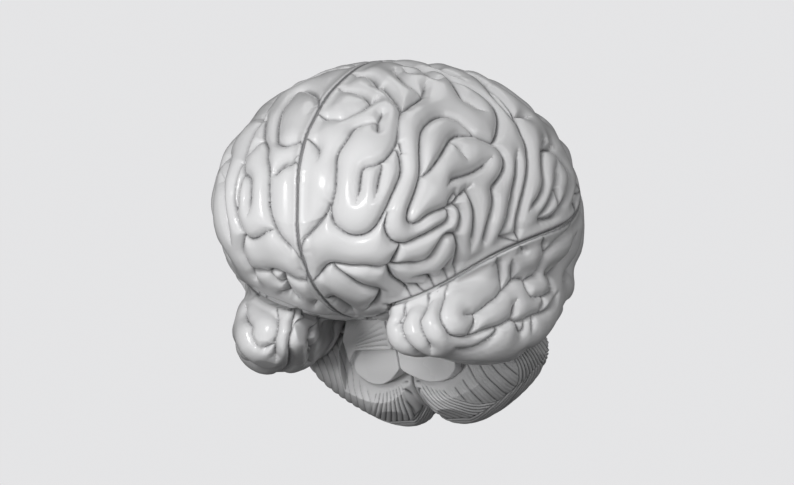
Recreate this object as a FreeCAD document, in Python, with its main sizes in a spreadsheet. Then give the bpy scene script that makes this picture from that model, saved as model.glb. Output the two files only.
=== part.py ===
import FreeCAD, Part
import math
import os
import Sketcher

V = FreeCAD.Vector

# Life-size dissectible brain model, eight moulded lobes held together by steel pins and disc magnets.
# Model frame: +X the brain's own left, +Y towards the back of the head, +Z up, millimetres.
# The lobes are drawn in the anatomical frame (origin between the front ends of the brainstem, Z along the
# skull's vertical) and then pitched forward by rest_pitch, which is how the model settles on a table: on the
# undersides of both temporal lobes and both halves of the cerebellum, at Z = 0.

doc = FreeCAD.newDocument("brain_model")
sheet = doc.addObject("Spreadsheet::Sheet", "sizes")
sheet.Label = "sizes"
_row = [0]


def put(alias, value):
    """One driving dimension: a plain number in column B, its name in column A and as the cell's alias."""
    _row[0] += 1
    sheet.set(f"A{_row[0]}", alias)
    sheet.set(f"B{_row[0]}", str(value))
    sheet.setAlias(f"B{_row[0]}", alias)


# ---------------------------------------------------------------- driving dimensions
for alias, value in (
    ("rest_pitch", 10.0),  # degrees the anatomical frame is pitched to stand
    ("rest_lift", 51.2),  # height of the anatomical origin above the table
    ("rest_shift", -10.4),  # Y of the anatomical origin, so that the model is centred over its own origin
    ("rear_square", 2.9),  # fuller underside of the sections that carry the temporal lobe
    ("midline_gap", 0.4),  # gap between the left and right halves
    ("lobe_gap", 0.4),  # gap between two lobes that meet
    ("core_half_width", 20.0),  # X of the face that a temporal lobe is pinned to
    ("stem_roof", -12.0),  # Z of the face that the brainstem is pinned to
    ("core_back", 48.0),  # Y of the core's rear face
    ("stem_pocket_half", 24.0),
    ("stem_pocket_front", 3.0),
    ("stem_back", 41.0),  # Y of the face between brainstem and cerebellum
    ("peduncle_half", 31.0),  # half width of the cerebellum's flat front
    ("pin_radius", 3.0),
    ("pin_fit", 0.06),  # radial running clearance of a pin in the hole it slides out of
    ("pin_seat", 0.01),  # radial clearance of a pin in the hole it is bonded in
    ("pin_chamfer", 0.8),
    ("midline_pin_fixed", 14.0),
    ("midline_pin_free", 10.0),
    ("midline_pin_front_y", -44.0),
    ("midline_pin_front_z", 18.0),
    ("midline_pin_rear_y", 52.0),
    ("midline_pin_rear_z", 50.0),
    ("small_pin_radius", 2.5),
    ("small_pin_fixed", 10.0),
    ("small_pin_free", 8.0),
    ("temporal_pin_front_y", -6.0),
    ("temporal_pin_front_z", -13.0),
    ("temporal_pin_rear_y", 38.0),
    ("temporal_pin_rear_z", -4.0),
    ("stem_pin_x", 8.5),
    ("stem_pin_y", 26.0),
    ("cerebellum_pin_x", 12.0),
    ("cerebellum_pin_z", -31.0),
    ("hole_relief", 1.0),  # a blind hole is this much deeper than its pin
    ("magnet_radius", 5.0),
    ("magnet_thick", 3.0),
    ("magnet_chamfer", 0.3),
    ("magnet_seat", 0.02),
    ("magnet_inset", 0.05),  # the magnet's face lies this far below the lobe's face
    ("midline_magnet_front_y", -14.0),
    ("midline_magnet_front_z", 55.0),
    ("midline_magnet_rear_y", 26.0),
    ("midline_magnet_rear_z", 64.0),
    ("temporal_magnet_y", 16.0),
    ("temporal_magnet_z", -4.5),
    ("stump_y", 24.0),  # a point on the midline where the two cut faces of the brainstem meet
    ("stump_z", -38.0),
    ("stump_splay", 8.0),  # degrees each cut face turns outwards
    ("stump_tilt", 40.0),  # degrees each cut face looks down
    ("hollow_front", 34.0),  # Y of the front wall of the hollow over the cerebellum
):
    put(alias, value)

# Left half of the cerebrum without the temporal lobe: stations from the frontal poles to the occipital poles.
# y, half width, Z of the widest point, Z of the top, Z of the underside, squareness above and below
CEREBRUM = [
    (-77.0, 14.0, 12.0, 21.0, 3.0, 2.3, 2.1),
    (-75.5, 24.0, 12.0, 29.5, -3.0, 2.3, 2.1),
    (-72.0, 33.0, 12.0, 37.5, -9.0, 2.3, 2.1),
    (-66.0, 41.0, 12.5, 46.0, -15.5, 2.3, 2.1),
    (-57.0, 48.5, 13.5, 55.0, -22.0, 2.25, 2.05),
    (-45.0, 54.5, 15.0, 64.5, -26.5, 2.2, 2.0),
    (-30.0, 59.5, 16.0, 73.0, -29.5, 2.15, 2.0),
    (-12.0, 65.0, 17.0, 80.5, -29.0, 2.15, 2.05),
    (6.0, 70.0, 18.0, 84.5, -27.0, 2.2, 2.1),
    (24.0, 73.5, 18.0, 86.0, -23.0, 2.25, 2.2),
    (41.0, 73.5, 18.0, 83.5, -17.0, 2.3, 2.2),
    (56.0, 71.0, 18.0, 78.5, -14.0, 2.35, 2.2),
    (69.0, 65.5, 17.0, 70.5, -13.5, 2.35, 2.2),
    (80.0, 57.0, 15.0, 60.0, -13.0, 2.3, 2.2),
    (89.0, 47.0, 12.0, 48.5, -11.5, 2.25, 2.2),
    (96.0, 36.0, 10.0, 36.5, -8.5, 2.2, 2.2),
    (100.5, 25.0, 9.0, 26.0, -3.5, 2.2, 2.2),
    (102.5, 14.0, 9.0, 17.5, 2.0, 2.2, 2.2),
]
# Left half of the temporal and occipital piece's upper form: blunt in front, then the cerebrum's own stations
REAR_NOSE = [
    (-25.0, 30.0, -20.0, -12.0, -27.0, 2.1, 2.1),
    (-23.0, 42.0, -16.0, -4.0, -28.5, 2.1, 2.1),
    (-18.0, 51.5, -8.0, 12.0, -29.0, 2.1, 2.05),
    (-10.0, 60.5, 4.0, 40.0, -28.5, 2.1, 2.25),
    (-2.0, 66.5, 13.0, 66.0, -27.5, 2.15, 2.6),
]
# Left temporal lobe: y, X centre, Z centre, half width, half height above, half height below, squareness
TEMPORAL = [
    (-35.5, 34.0, -35.0, 5.0, 4.5, 5.0, 2.1),
    (-34.0, 34.0, -35.0, 10.0, 8.5, 8.5, 2.1),
    (-29.5, 35.0, -35.0, 15.0, 13.0, 12.5, 2.1),
    (-21.0, 37.0, -33.5, 18.5, 17.5, 14.5, 2.1),
    (-10.0, 40.5, -31.0, 20.0, 20.5, 17.0, 2.1),
    (4.0, 45.0, -28.0, 20.5, 22.0, 20.0, 2.1),
    (18.0, 48.0, -24.0, 21.0, 24.0, 22.0, 2.1),
    (32.0, 48.5, -19.0, 21.5, 26.0, 23.0, 2.1),
    (46.0, 46.5, -13.0, 22.5, 26.0, 22.0, 2.1),
    (60.0, 42.0, -7.0, 23.5, 26.0, 19.0, 2.1),
    (74.0, 34.0, 0.0, 23.0, 24.0, 16.0, 2.1),
    (84.0, 27.0, 4.0, 18.5, 18.0, 13.0, 2.1),
    (90.0, 23.0, 6.0, 12.0, 11.0, 9.0, 2.1),
]
# Left half of the cerebellum: X, Y centre, Z centre, half length, half height above, half height below
CEREBELLUM = [
    (0.2, 61.0, -36.0, 23.5, 18.5, 20.0),
    (5.0, 61.5, -37.0, 26.5, 19.0, 23.5),
    (11.0, 62.0, -38.0, 28.5, 19.0, 25.5),
    (19.0, 62.0, -38.0, 29.0, 17.5, 24.5),
    (28.0, 61.0, -37.0, 27.0, 14.5, 21.5),
    (37.0, 59.5, -35.5, 23.5, 11.5, 17.5),
    (45.0, 58.0, -34.0, 18.0, 9.0, 13.0),
    (50.5, 57.0, -33.0, 12.0, 6.5, 8.5),
    (53.5, 56.0, -32.5, 6.0, 3.5, 4.5),
]
# Left half of the brainstem: X, Y front, Y back, Z top, Z underside
BRAINSTEM = [
    (0.2, 7.0, 50.0, 2.0, -44.0),
    (4.5, 7.0, 50.0, 1.5, -48.0),
    (9.0, 7.5, 50.0, 0.0, -51.0),
    (13.5, 9.0, 50.0, -4.0, -52.0),
    (17.0, 10.5, 50.0, -11.0, -51.5),
    (19.5, 12.5, 50.0, -21.0, -50.0),
    (21.8, 16.0, 49.5, -26.5, -47.5),
    (23.4, 21.0, 48.0, -31.0, -43.0),
]
# The hollow under the temporal and occipital lobes that the cerebellum is drawn out of backwards, from behind: x, Z
CEREBELLUM_ROOF = [
    (0.0, -15.0),
    (11.0, -16.4),
    (20.0, -18.4),
    (29.0, -20.5),
    (38.0, -21.8),
    (46.0, -23.0),
    (52.6, -26.4),
    (56.0, -33.4),
    (57.0, -44.0),
    (57.5, -60.0),
]
# The parting line between the frontal and parietal lobes and the temporal and occipital lobes, from the side: y, Z
PARTING = [
    (-62.0, -52.0),
    (-40.0, -34.0),
    (-30.0, -25.5),
    (-20.0, -14.0),
    (-10.0, -5.0),
    (3.0, 2.5),
    (18.0, 9.0),
    (34.0, 15.0),
    (48.0, 22.0),
    (58.0, 31.0),
    (65.0, 42.0),
    (71.0, 54.0),
    (76.0, 67.0),
    (80.0, 82.0),
    (84.0, 100.0),
]

for name, table, columns in (
    ("cerebrum", CEREBRUM, ("at_y", "half_width", "wide_z", "top_z", "under_z", "square", "square_under")),
    ("nose", REAR_NOSE, ("at_y", "half_width", "wide_z", "top_z", "under_z", "square", "square_under")),
    ("temporal", TEMPORAL, ("at_y", "centre_x", "centre_z", "half_width", "above", "below", "square")),
    ("cerebellum", CEREBELLUM, ("at_x", "centre_y", "centre_z", "half_length", "above", "below")),
    ("brainstem", BRAINSTEM, ("at_x", "front_y", "back_y", "top_z", "under_z")),
    ("roof", CEREBELLUM_ROOF, ("at_x", "at_z")),
    ("parting", PARTING, ("at_y", "at_z")),
):
    for i, station in enumerate(table):
        for column, value in zip(columns, station):
            put(f"{name}_{i + 1:02d}_{column}", value)
doc.recompute()


def val(alias):
    return float(sheet.get(alias))


def table_of(name, columns, count):
    return [[val(f"{name}_{i + 1:02d}_{c}") for c in columns] for i in range(count)]


# ---------------------------------------------------------------- smooth forms
def spow(c, e):
    return math.copysign(abs(c) ** e, c)


def closed_curve(points):
    curve = Part.BSplineCurve()
    curve.interpolate(Points=points, PeriodicFlag=True)
    return Part.Wire([curve.toShape()])


def ring(n, where):
    return closed_curve([where(2 * math.pi * (k + 0.5) / n) for k in range(n)])


def skin(wires):
    solid = Part.makeLoft(wires, True, False, False, 3)
    if solid.Volume < 0:
        solid.reverse()
    return solid


def feature(name, shape):
    obj = doc.addObject("Part::Feature", name)
    obj.Label = name
    obj.Shape = shape
    return obj


def stations(name, count):
    return table_of(name, ("at_y", "half_width", "wide_z", "top_z", "under_z", "square", "square_under"), count)


def cerebrum_solid(rows):
    """Left half of the cerebrum: each section runs from the top over the side to the underside, and back up the midline."""
    wires = []
    x0, n_points = val("midline_gap") / 2, 13
    for y, w, zw, zt, zb, n, m in rows:
        points = []
        for k in range(n_points):
            t = math.pi / 2 - math.pi * k / (n_points - 1)
            c, s = (0.0 if k in (0, n_points - 1) else math.cos(t)), math.sin(t)
            e = 2 / (n if s > 0 else m)
            points.append(V(x0 + (w - x0) * spow(c, e), y, zw + (zt - zw if s > 0 else zw - zb) * spow(s, e)))
        curve = Part.BSplineCurve()
        curve.interpolate(Points=points)
        wires.append(Part.Wire([curve.toShape(), Part.makeLine(points[-1], points[0])]))
    return skin(wires)


def temporal_solid():
    wires = []
    for y, xc, zc, a, up, down, n in table_of(
        "temporal", ("at_y", "centre_x", "centre_z", "half_width", "above", "below", "square"), len(TEMPORAL)
    ):
        def where(t, y=y, xc=xc, zc=zc, a=a, up=up, down=down, n=n):
            c, s = math.cos(t), math.sin(t)
            return V(xc + a * spow(c, 2 / n), y, zc + (up if s > 0 else down) * spow(s, 2 / n))
        wires.append(ring(20, where))
    return skin(wires)


def cerebellum_solid():
    wires = []
    for x, yc, zc, ry, up, down in table_of(
        "cerebellum", ("at_x", "centre_y", "centre_z", "half_length", "above", "below"), len(CEREBELLUM)
    ):
        def where(t, x=x, yc=yc, zc=zc, ry=ry, up=up, down=down):
            c, s = math.cos(t), math.sin(t)
            return V(x, yc + ry * spow(c, 0.92), zc + (up if s > 0 else down) * spow(s, 0.92))
        wires.append(ring(20, where))
    return skin(wires)


def cerebellum_hollow():
    """The room for the cerebellum, ruled along Y."""
    y = val("hollow_front")
    pts = [V(x, y, z) for x, z in table_of("roof", ("at_x", "at_z"), len(CEREBELLUM_ROOF))]
    curve = Part.BSplineCurve()
    curve.interpolate(Points=pts)
    a, b = pts[0], pts[-1]
    corners = [b, V(b.x, y, -100), V(-10, y, -100), V(-10, y, a.z), a]
    edges = [curve.toShape()] + [Part.makeLine(p, q) for p, q in zip(corners, corners[1:])]
    return Part.Face(Part.Wire(edges)).extrude(V(0, 120, 0))


def brainstem_solid():
    wires = []
    for x, yf, yb, zt, zb in table_of(
        "brainstem", ("at_x", "front_y", "back_y", "top_z", "under_z"), len(BRAINSTEM)
    ):
        yc, zc, ry, rz = (yf + yb) / 2, (zt + zb) / 2, (yb - yf) / 2, (zt - zb) / 2
        def where(t, x=x, yc=yc, zc=zc, ry=ry, rz=rz):
            c, s = math.cos(t), math.sin(t)
            return V(x, yc + ry * spow(c, 0.7), zc + rz * spow(s, 0.7))
        wires.append(ring(20, where))
    return skin(wires)


def parting_solid(shift):
    """Everything below and behind the parting line, as one block ruled along X, moved back and down by shift."""
    pts = [V(0, y + shift, z - shift) for y, z in table_of("parting", ("at_y", "at_z"), len(PARTING))]
    curve = Part.BSplineCurve()
    curve.interpolate(Points=pts)
    a, b = pts[0], pts[-1]
    far, low = 130.0, -90.0
    corners = [b, V(0, far, b.z), V(0, far, low), V(0, a.y, low), a]
    edges = [curve.toShape()] + [Part.makeLine(p, q) for p, q in zip(corners, corners[1:])]
    solid = Part.Face(Part.Wire(edges)).extrude(V(200, 0, 0))
    solid.translate(V(-100, 0, 0))
    return solid


# ---------------------------------------------------------------- blocks, cuts and joins of the document
def bind(obj, **expressions):
    for prop, expression in expressions.items():
        obj.setExpression(prop.replace("__", "."), expression)
    return obj


def block(name, x, y, z, length, width, height):
    """A Part::Box from its lowest corner and its three sides, each a sheet expression."""
    box = doc.addObject("Part::Box", name)
    return bind(box, Placement__Base__x=x, Placement__Base__y=y, Placement__Base__z=z,
                Length=length, Width=width, Height=height)


def cut(name, base, tool):
    obj = doc.addObject("Part::Cut", name)
    obj.Base, obj.Tool = base, tool
    return obj


def common(name, base, tool):
    obj = doc.addObject("Part::Common", name)
    obj.Base, obj.Tool = base, tool
    return obj


def join(name, shapes):
    obj = doc.addObject("Part::MultiFuse", name)
    obj.Shapes = shapes
    return obj


S = "sizes."
rows = stations("cerebrum", len(CEREBRUM))
cerebrum = feature("cerebrum_form", cerebrum_solid(rows))
behind_nose = [row[:-1] + [max(row[-1], val("rear_square") - 0.014 * max(row[0] - 45, 0))]
               for row in rows if row[0] > val(f"nose_{len(REAR_NOSE):02d}_at_y")]
rear = feature("rear_form", cerebrum_solid(stations("nose", len(REAR_NOSE)) + behind_nose))
temporal = feature("temporal_form", temporal_solid())
cerebellum = feature("cerebellum_form", cerebellum_solid())
hollow = feature("cerebellum_hollow", cerebellum_hollow())
stem = feature("brainstem_form", brainstem_solid())
upper_parting = feature("parting_form", parting_solid(0.0))
lower_parting = feature("lower_parting_form", parting_solid(0.75 * val("lobe_gap")))

# the frontal and parietal piece keeps a core between the temporal lobes, with flat faces to pin them to
core = block("core_block", "-" + S + "core_half_width", "-110", "-100",
             "2 * " + S + "core_half_width", "110 + " + S + "core_back", "300")
core_room = block("core_room", "-" + S + "core_half_width - " + S + "lobe_gap", "-110", "-100",
                  "2 * (" + S + "core_half_width + " + S + "lobe_gap)",
                  "110 + " + S + "core_back + " + S + "lobe_gap", "300")
stem_well = block("stem_well", "-" + S + "stem_pocket_half", S + "stem_pocket_front", "-150",
                  "2 * " + S + "stem_pocket_half", S + "stem_back + 17 - " + S + "stem_pocket_front",
                  "150 + " + S + "stem_roof")
stem_side = block("stem_side_room", "-" + S + "stem_pocket_half - " + S + "lobe_gap",
                  S + "stem_pocket_front - " + S + "lobe_gap", "-150",
                  "2 * (" + S + "stem_pocket_half + " + S + "lobe_gap)", "46", "130")

rest = FreeCAD.Placement(V(0, val("rest_shift"), val("rest_lift")), FreeCAD.Rotation(V(1, 0, 0), val("rest_pitch")))


def stand(obj):
    """Pitch and lift a piece from the anatomical frame to where it stands on the table."""
    obj.Placement = rest
    bind(obj, Placement__Base__y=S + "rest_shift", Placement__Base__z=S + "rest_lift",
         Placement__Rotation__Angle=S + "rest_pitch")
    return obj


table = doc.addObject("Part::Box", "table_slab")
table.Length, table.Width, table.Height = 400, 400, 80
table.Placement = rest.inverse().multiply(FreeCAD.Placement(V(-200, -200, -80), FreeCAD.Rotation()))


def across(name, y, z, inner, outer, radius, side):
    """A round hole along X between two distances from the midline."""
    hole = doc.addObject("Part::Cylinder", name)
    hole.Placement = FreeCAD.Placement(V(0, 0, 0), FreeCAD.Rotation(V(0, 1, 0), 90 * side))
    return bind(hole, Radius=radius, Height=outer + " - (" + inner + ")", Placement__Base__y=y, Placement__Base__z=z,
                Placement__Base__x=("" if side > 0 else "-1 * ") + "(" + inner + ")")


def along(name, x, y, z, direction, length, radius):
    """A round hole of a given direction and length from a point."""
    hole = doc.addObject("Part::Cylinder", name)
    hole.Placement = FreeCAD.Placement(V(0, 0, 0), FreeCAD.Rotation(V(0, 0, 1), direction))
    return bind(hole, Radius=radius, Height=length, Placement__Base__x=x, Placement__Base__y=y, Placement__Base__z=z)


midline_pins = ("midline_pin_front", "midline_pin_rear")
midline_magnets = ("midline_magnet_front", "midline_magnet_rear")
temporal_pins = ("temporal_pin_front", "temporal_pin_rear")
half_gap = S + "midline_gap / 2"
free_radius = S + "pin_radius + " + S + "pin_fit"
seat_radius = S + "pin_radius + " + S + "pin_seat"
small_free = S + "small_pin_radius + " + S + "pin_fit"
small_seat = S + "small_pin_radius + " + S + "pin_seat"
magnet_radius = S + "magnet_radius + " + S + "magnet_seat"
magnet_depth = S + "magnet_thick + " + S + "magnet_inset"
lobes = []

# frontal and parietal lobes with the core
crown = cut("crown", cerebrum, cut("below_parting", upper_parting, core))
crown = cut("crown_form", crown, stem_well)

# temporal and occipital lobes
lobe = join("rear_with_temporal", [rear, temporal])
lobe = common("lobe_below_parting", lobe, cut("below_lower_parting", lower_parting, core_room))
lobe = cut("lobe_beside_stem", lobe, stem_side)
lobe = cut("lobe_over_cerebellum", lobe, hollow)
lobe = cut("lobe_form", lobe, table)

# brainstem, with the flat face where the spinal cord is left off
stem_room = block("stem_room", "-10", "-50", "-100", "100", "50 + " + S + "stem_back",
                  "100 + " + S + "stem_roof - " + S + "lobe_gap")
stump = doc.addObject("Part::Box", "stump_block")
stump.Length, stump.Width, stump.Height = 200, 60, 200
turn = FreeCAD.Rotation(V(0, 0, 1), val("stump_splay")).multiply(FreeCAD.Rotation(V(1, 0, 0), val("stump_tilt")))
stump.Placement = FreeCAD.Placement(V(0, val("stump_y"), val("stump_z")), turn).multiply(
    FreeCAD.Placement(V(-100, -60, -100), FreeCAD.Rotation()))
stem = cut("stem_with_face", common("stem_in_room", stem, stem_room), stump)

# cerebellum
front = block("cerebellum_front", "-" + S + "peduncle_half", "-100", "-150", "2 * " + S + "peduncle_half",
              "100 + " + S + "stem_back + " + S + "lobe_gap", "300")
cerebellum = cut("cerebellum_flat_front", cerebellum, front)
cerebellum = cut("cerebellum_with_foot", cerebellum, table)

for side, tag in ((1, "left"), (-1, "right")):
    shells = []
    for name, shell in (("crown", crown), ("lobe", lobe), ("stem", stem), ("cerebellum", cerebellum)):
        if side < 0:
            other = doc.addObject("Part::Mirroring", f"right_{name}_shell")
            other.Source, other.Normal, other.Base = shell, V(1, 0, 0), V(0, 0, 0)
            shell = other
        shells.append(shell)
    crown_side, lobe_side, stem_side, cerebellum_side = shells

    tools = []
    fixed = S + "midline_pin_fixed + " + S + "hole_relief"
    free = S + "midline_pin_free + " + S + "hole_relief"
    for pin in midline_pins:
        tools.append(across(f"{tag}_{pin}_hole", S + pin + "_y", S + pin + "_z", "0",
                            free if side > 0 else fixed, free_radius if side > 0 else seat_radius, side))
    for magnet in midline_magnets:
        tools.append(across(f"{tag}_{magnet}_seat", S + magnet + "_y", S + magnet + "_z", "0",
                            half_gap + " + " + magnet_depth, magnet_radius, side))
    for pin in temporal_pins:
        tools.append(across(f"{tag}_{pin}_seat", S + pin + "_y", S + pin + "_z",
                            S + "core_half_width - " + S + "small_pin_fixed - " + S + "hole_relief",
                            S + "core_half_width + 1", small_seat, side))
    tools.append(across(f"{tag}_core_magnet_seat", S + "temporal_magnet_y", S + "temporal_magnet_z",
                        S + "core_half_width - (" + magnet_depth + ")", S + "core_half_width + 1",
                        magnet_radius, side))
    sx = ("" if side > 0 else "-1 * ") + S
    tools.append(along(f"{tag}_brainstem_pin_seat", sx + "stem_pin_x", S + "stem_pin_y", S + "stem_roof - 1",
                       V(0, 0, 1), S + "small_pin_fixed + " + S + "hole_relief + 1", small_seat))
    lobes.append((f"{tag}_frontoparietal_lobe",
                  cut(f"{tag}_frontoparietal", crown_side, join(f"{tag}_crown_tools", tools))))

    tools = []
    for pin in temporal_pins:
        tools.append(across(f"{tag}_{pin}_hole", S + pin + "_y", S + pin + "_z", S + "core_half_width - 1",
                            S + "core_half_width + " + S + "small_pin_free + " + S + "hole_relief",
                            small_free, side))
    tools.append(across(f"{tag}_temporal_magnet_seat", S + "temporal_magnet_y", S + "temporal_magnet_z",
                        S + "core_half_width - 1", S + "core_half_width + " + S + "lobe_gap + " + magnet_depth,
                        magnet_radius, side))
    lobes.append((f"{tag}_temporo_occipital_lobe",
                  cut(f"{tag}_temporo_occipital", lobe_side, join(f"{tag}_lobe_tools", tools))))

    tools = [
        along(f"{tag}_brainstem_pin_hole", sx + "stem_pin_x", S + "stem_pin_y", S + "stem_roof + 1",
              V(0, 0, -1), S + "small_pin_free + " + S + "hole_relief + 1", small_free),
        along(f"{tag}_cerebellum_pin_seat", sx + "cerebellum_pin_x", S + "stem_back + 1", S + "cerebellum_pin_z",
              V(0, -1, 0), S + "small_pin_fixed + " + S + "hole_relief + 1", small_seat),
    ]
    lobes.append((f"{tag}_brainstem_half",
                  cut(f"{tag}_brainstem", stem_side, join(f"{tag}_stem_tools", tools))))

    tool = along(f"{tag}_cerebellum_pin_hole", sx + "cerebellum_pin_x", S + "stem_back - 1",
                 S + "cerebellum_pin_z", V(0, 1, 0), S + "small_pin_free + " + S + "hole_relief + 1", small_free)
    lobes.append((f"{tag}_cerebellum_half", cut(f"{tag}_cerebellum", cerebellum_side, tool)))

pieces = []
for label, obj in lobes:
    obj.Label = label
    pieces.append(stand(obj))

# ---------------------------------------------------------------- steel pins and disc magnets
def origin_plane(body, role):
    for feature_ in body.Origin.OriginFeatures:
        if feature_.Role == role:
            return feature_


def turned(label, profile_names, point, direction):
    """A disc or pin turned from bar: half its profile in a sketch, chamfered at both ends, revolved about X."""
    radius, low, high, chamfer = profile_names
    body = doc.addObject("PartDesign::Body", label + "_body")
    body.Label = label
    sketch = body.newObject("Sketcher::SketchObject", label + "_profile")
    sketch.AttachmentSupport = [(origin_plane(body, "XY_Plane"), "")]
    sketch.MapMode = "FlatFace"
    r, a, b, c = 3.0, -10.0, 10.0, 0.5
    corners = [V(a, 0, 0), V(b, 0, 0), V(b, r - c, 0), V(b - c, r, 0), V(a + c, r, 0), V(a, r - c, 0)]
    for k in range(6):
        sketch.addGeometry(Part.LineSegment(corners[k], corners[(k + 1) % 6]), False)
    for k in range(6):
        sketch.addConstraint(Sketcher.Constraint("Coincident", k, 2, (k + 1) % 6, 1))
    sketch.addConstraint(Sketcher.Constraint("PointOnObject", 0, 1, -1))
    sketch.addConstraint(Sketcher.Constraint("Horizontal", 0))
    sketch.addConstraint(Sketcher.Constraint("Vertical", 1))
    sketch.addConstraint(Sketcher.Constraint("Horizontal", 3))
    sketch.addConstraint(Sketcher.Constraint("Vertical", 5))
    dims = (
        ("left_end", Sketcher.Constraint("DistanceX", 0, 1, -1, 1, -a), low),
        ("right_end", Sketcher.Constraint("DistanceX", -1, 1, 0, 2, b), high),
        ("outer_radius", Sketcher.Constraint("DistanceY", 0, 2, 2, 2, r), radius),
        ("chamfer_right_x", Sketcher.Constraint("DistanceX", 2, 2, 0, 2, c), chamfer),
        ("chamfer_right_y", Sketcher.Constraint("DistanceY", 2, 1, 2, 2, c), chamfer),
        ("chamfer_left_x", Sketcher.Constraint("DistanceX", 0, 1, 3, 2, c), chamfer),
        ("chamfer_left_y", Sketcher.Constraint("DistanceY", 4, 2, 3, 2, c), chamfer),
    )
    for name, constraint, expression in dims:
        sketch.renameConstraint(sketch.addConstraint(constraint), name)
        sketch.setExpression("Constraints." + name, expression)
    turn = body.newObject("PartDesign::Revolution", label + "_turned")
    turn.Profile = sketch
    turn.ReferenceAxis = (sketch, ["H_Axis"])
    turn.Angle = 360.0
    body.Tip = turn
    body.Placement = rest.multiply(FreeCAD.Placement(point, FreeCAD.Rotation(V(1, 0, 0), direction)))
    pieces.append(body)
    return body




seam = half_gap
for pin in midline_pins:
    turned(pin, (S + "pin_radius", S + "midline_pin_fixed", S + "midline_pin_free", S + "pin_chamfer"),
           V(0, val(pin + "_y"), val(pin + "_z")), V(1, 0, 0))
for side, tag in ((1, "left"), (-1, "right")):
    for pin in temporal_pins:
        turned(f"{tag}_{pin}", (S + "small_pin_radius", S + "small_pin_fixed", S + "small_pin_free",
                                S + "pin_chamfer"),
               V(side * val("core_half_width"), val(pin + "_y"), val(pin + "_z")), V(side, 0, 0))
    turned(f"{tag}_brainstem_pin", (S + "small_pin_radius", S + "small_pin_fixed", S + "small_pin_free",
                                    S + "pin_chamfer"),
           V(side * val("stem_pin_x"), val("stem_pin_y"), val("stem_roof")), V(0, 0, -1))
    turned(f"{tag}_cerebellum_pin", (S + "small_pin_radius", S + "small_pin_fixed", S + "small_pin_free",
                                     S + "pin_chamfer"),
           V(side * val("cerebellum_pin_x"), val("stem_back"), val("cerebellum_pin_z")), V(0, 1, 0))
    disc = (S + "magnet_radius", S + "magnet_thick", "0", S + "magnet_chamfer")
    for magnet in midline_magnets:
        turned(f"{tag}_{magnet}", disc,
               V(side * (val("midline_gap") / 2 + val("magnet_inset")), val(magnet + "_y"), val(magnet + "_z")),
               V(-side, 0, 0))
    turned(f"{tag}_core_magnet", disc,
           V(side * (val("core_half_width") - val("magnet_inset")), val("temporal_magnet_y"),
             val("temporal_magnet_z")), V(side, 0, 0))
    turned(f"{tag}_temporal_magnet", disc,
           V(side * (val("core_half_width") + val("lobe_gap") + val("magnet_inset")), val("temporal_magnet_y"),
             val("temporal_magnet_z")), V(-side, 0, 0))

doc.recompute()

# ---------------------------------------------------------------- checks and files
bad = [o.Name for o in doc.Objects if "Invalid" in o.State or "Error" in o.State]
for piece in pieces:
    shape = piece.Shape
    if shape.isNull() or not shape.isValid() or len(shape.Solids) != 1 or shape.Volume <= 0:
        bad.append(f"{piece.Label}: null {shape.isNull()} solids {len(shape.Solids)}")
if bad:
    raise RuntimeError("failed objects: " + ", ".join(bad))
os.makedirs("parts", exist_ok=True)
for piece in pieces:
    piece.Shape.exportStep(f"parts/{piece.Label}.step")
    box = piece.Shape.BoundBox
    print(f"{piece.Label:32s} {piece.Shape.Volume / 1000:9.2f} cm3  "
          f"x {box.XMin:7.2f} {box.XMax:7.2f}  y {box.YMin:7.2f} {box.YMax:7.2f}  z {box.ZMin:7.2f} {box.ZMax:7.2f}")
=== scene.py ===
"""Looks for the take-apart brain anatomy model: smooth moulded folds over the cut lobes, fine leaves on the
cerebellum, a plain cut face under the brainstem, steel pins and plated magnets."""

import math

import bpy
import bmesh
import numpy as np
from mathutils import Matrix, Vector, kdtree
from mathutils.bvhtree import BVHTree


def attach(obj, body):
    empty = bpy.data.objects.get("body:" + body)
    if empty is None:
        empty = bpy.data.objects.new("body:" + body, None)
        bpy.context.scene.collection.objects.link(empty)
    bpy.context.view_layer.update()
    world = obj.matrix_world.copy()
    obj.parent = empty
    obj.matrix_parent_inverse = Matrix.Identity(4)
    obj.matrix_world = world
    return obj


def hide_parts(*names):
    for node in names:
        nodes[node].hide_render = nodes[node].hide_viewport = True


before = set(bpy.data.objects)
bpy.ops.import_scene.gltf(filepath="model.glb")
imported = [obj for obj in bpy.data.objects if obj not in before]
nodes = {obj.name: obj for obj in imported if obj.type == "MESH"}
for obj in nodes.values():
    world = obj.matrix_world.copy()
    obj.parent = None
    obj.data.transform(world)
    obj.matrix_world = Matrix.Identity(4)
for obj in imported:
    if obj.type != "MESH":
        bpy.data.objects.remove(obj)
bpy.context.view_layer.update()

# The form is drawn level, in millimetres, and rests tipped forward on its temporal poles and cerebellum.
PITCH, SHIFT, LIFT = math.radians(10.0), -10.4, 51.2
CP, SP = math.cos(PITCH), math.sin(PITCH)
TURN = np.array([[1, 0, 0], [0, CP, -SP], [0, SP, CP]])
MOVE = np.array([0, SHIFT, LIFT])


def to_rest(p):
    """level millimetres to metres at rest"""
    return (np.asarray(p, float) @ TURN.T + MOVE) * 0.001


def to_level(p):
    """metres at rest to level millimetres"""
    return (np.asarray(p, float) * 1000 - MOVE) @ TURN


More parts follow.
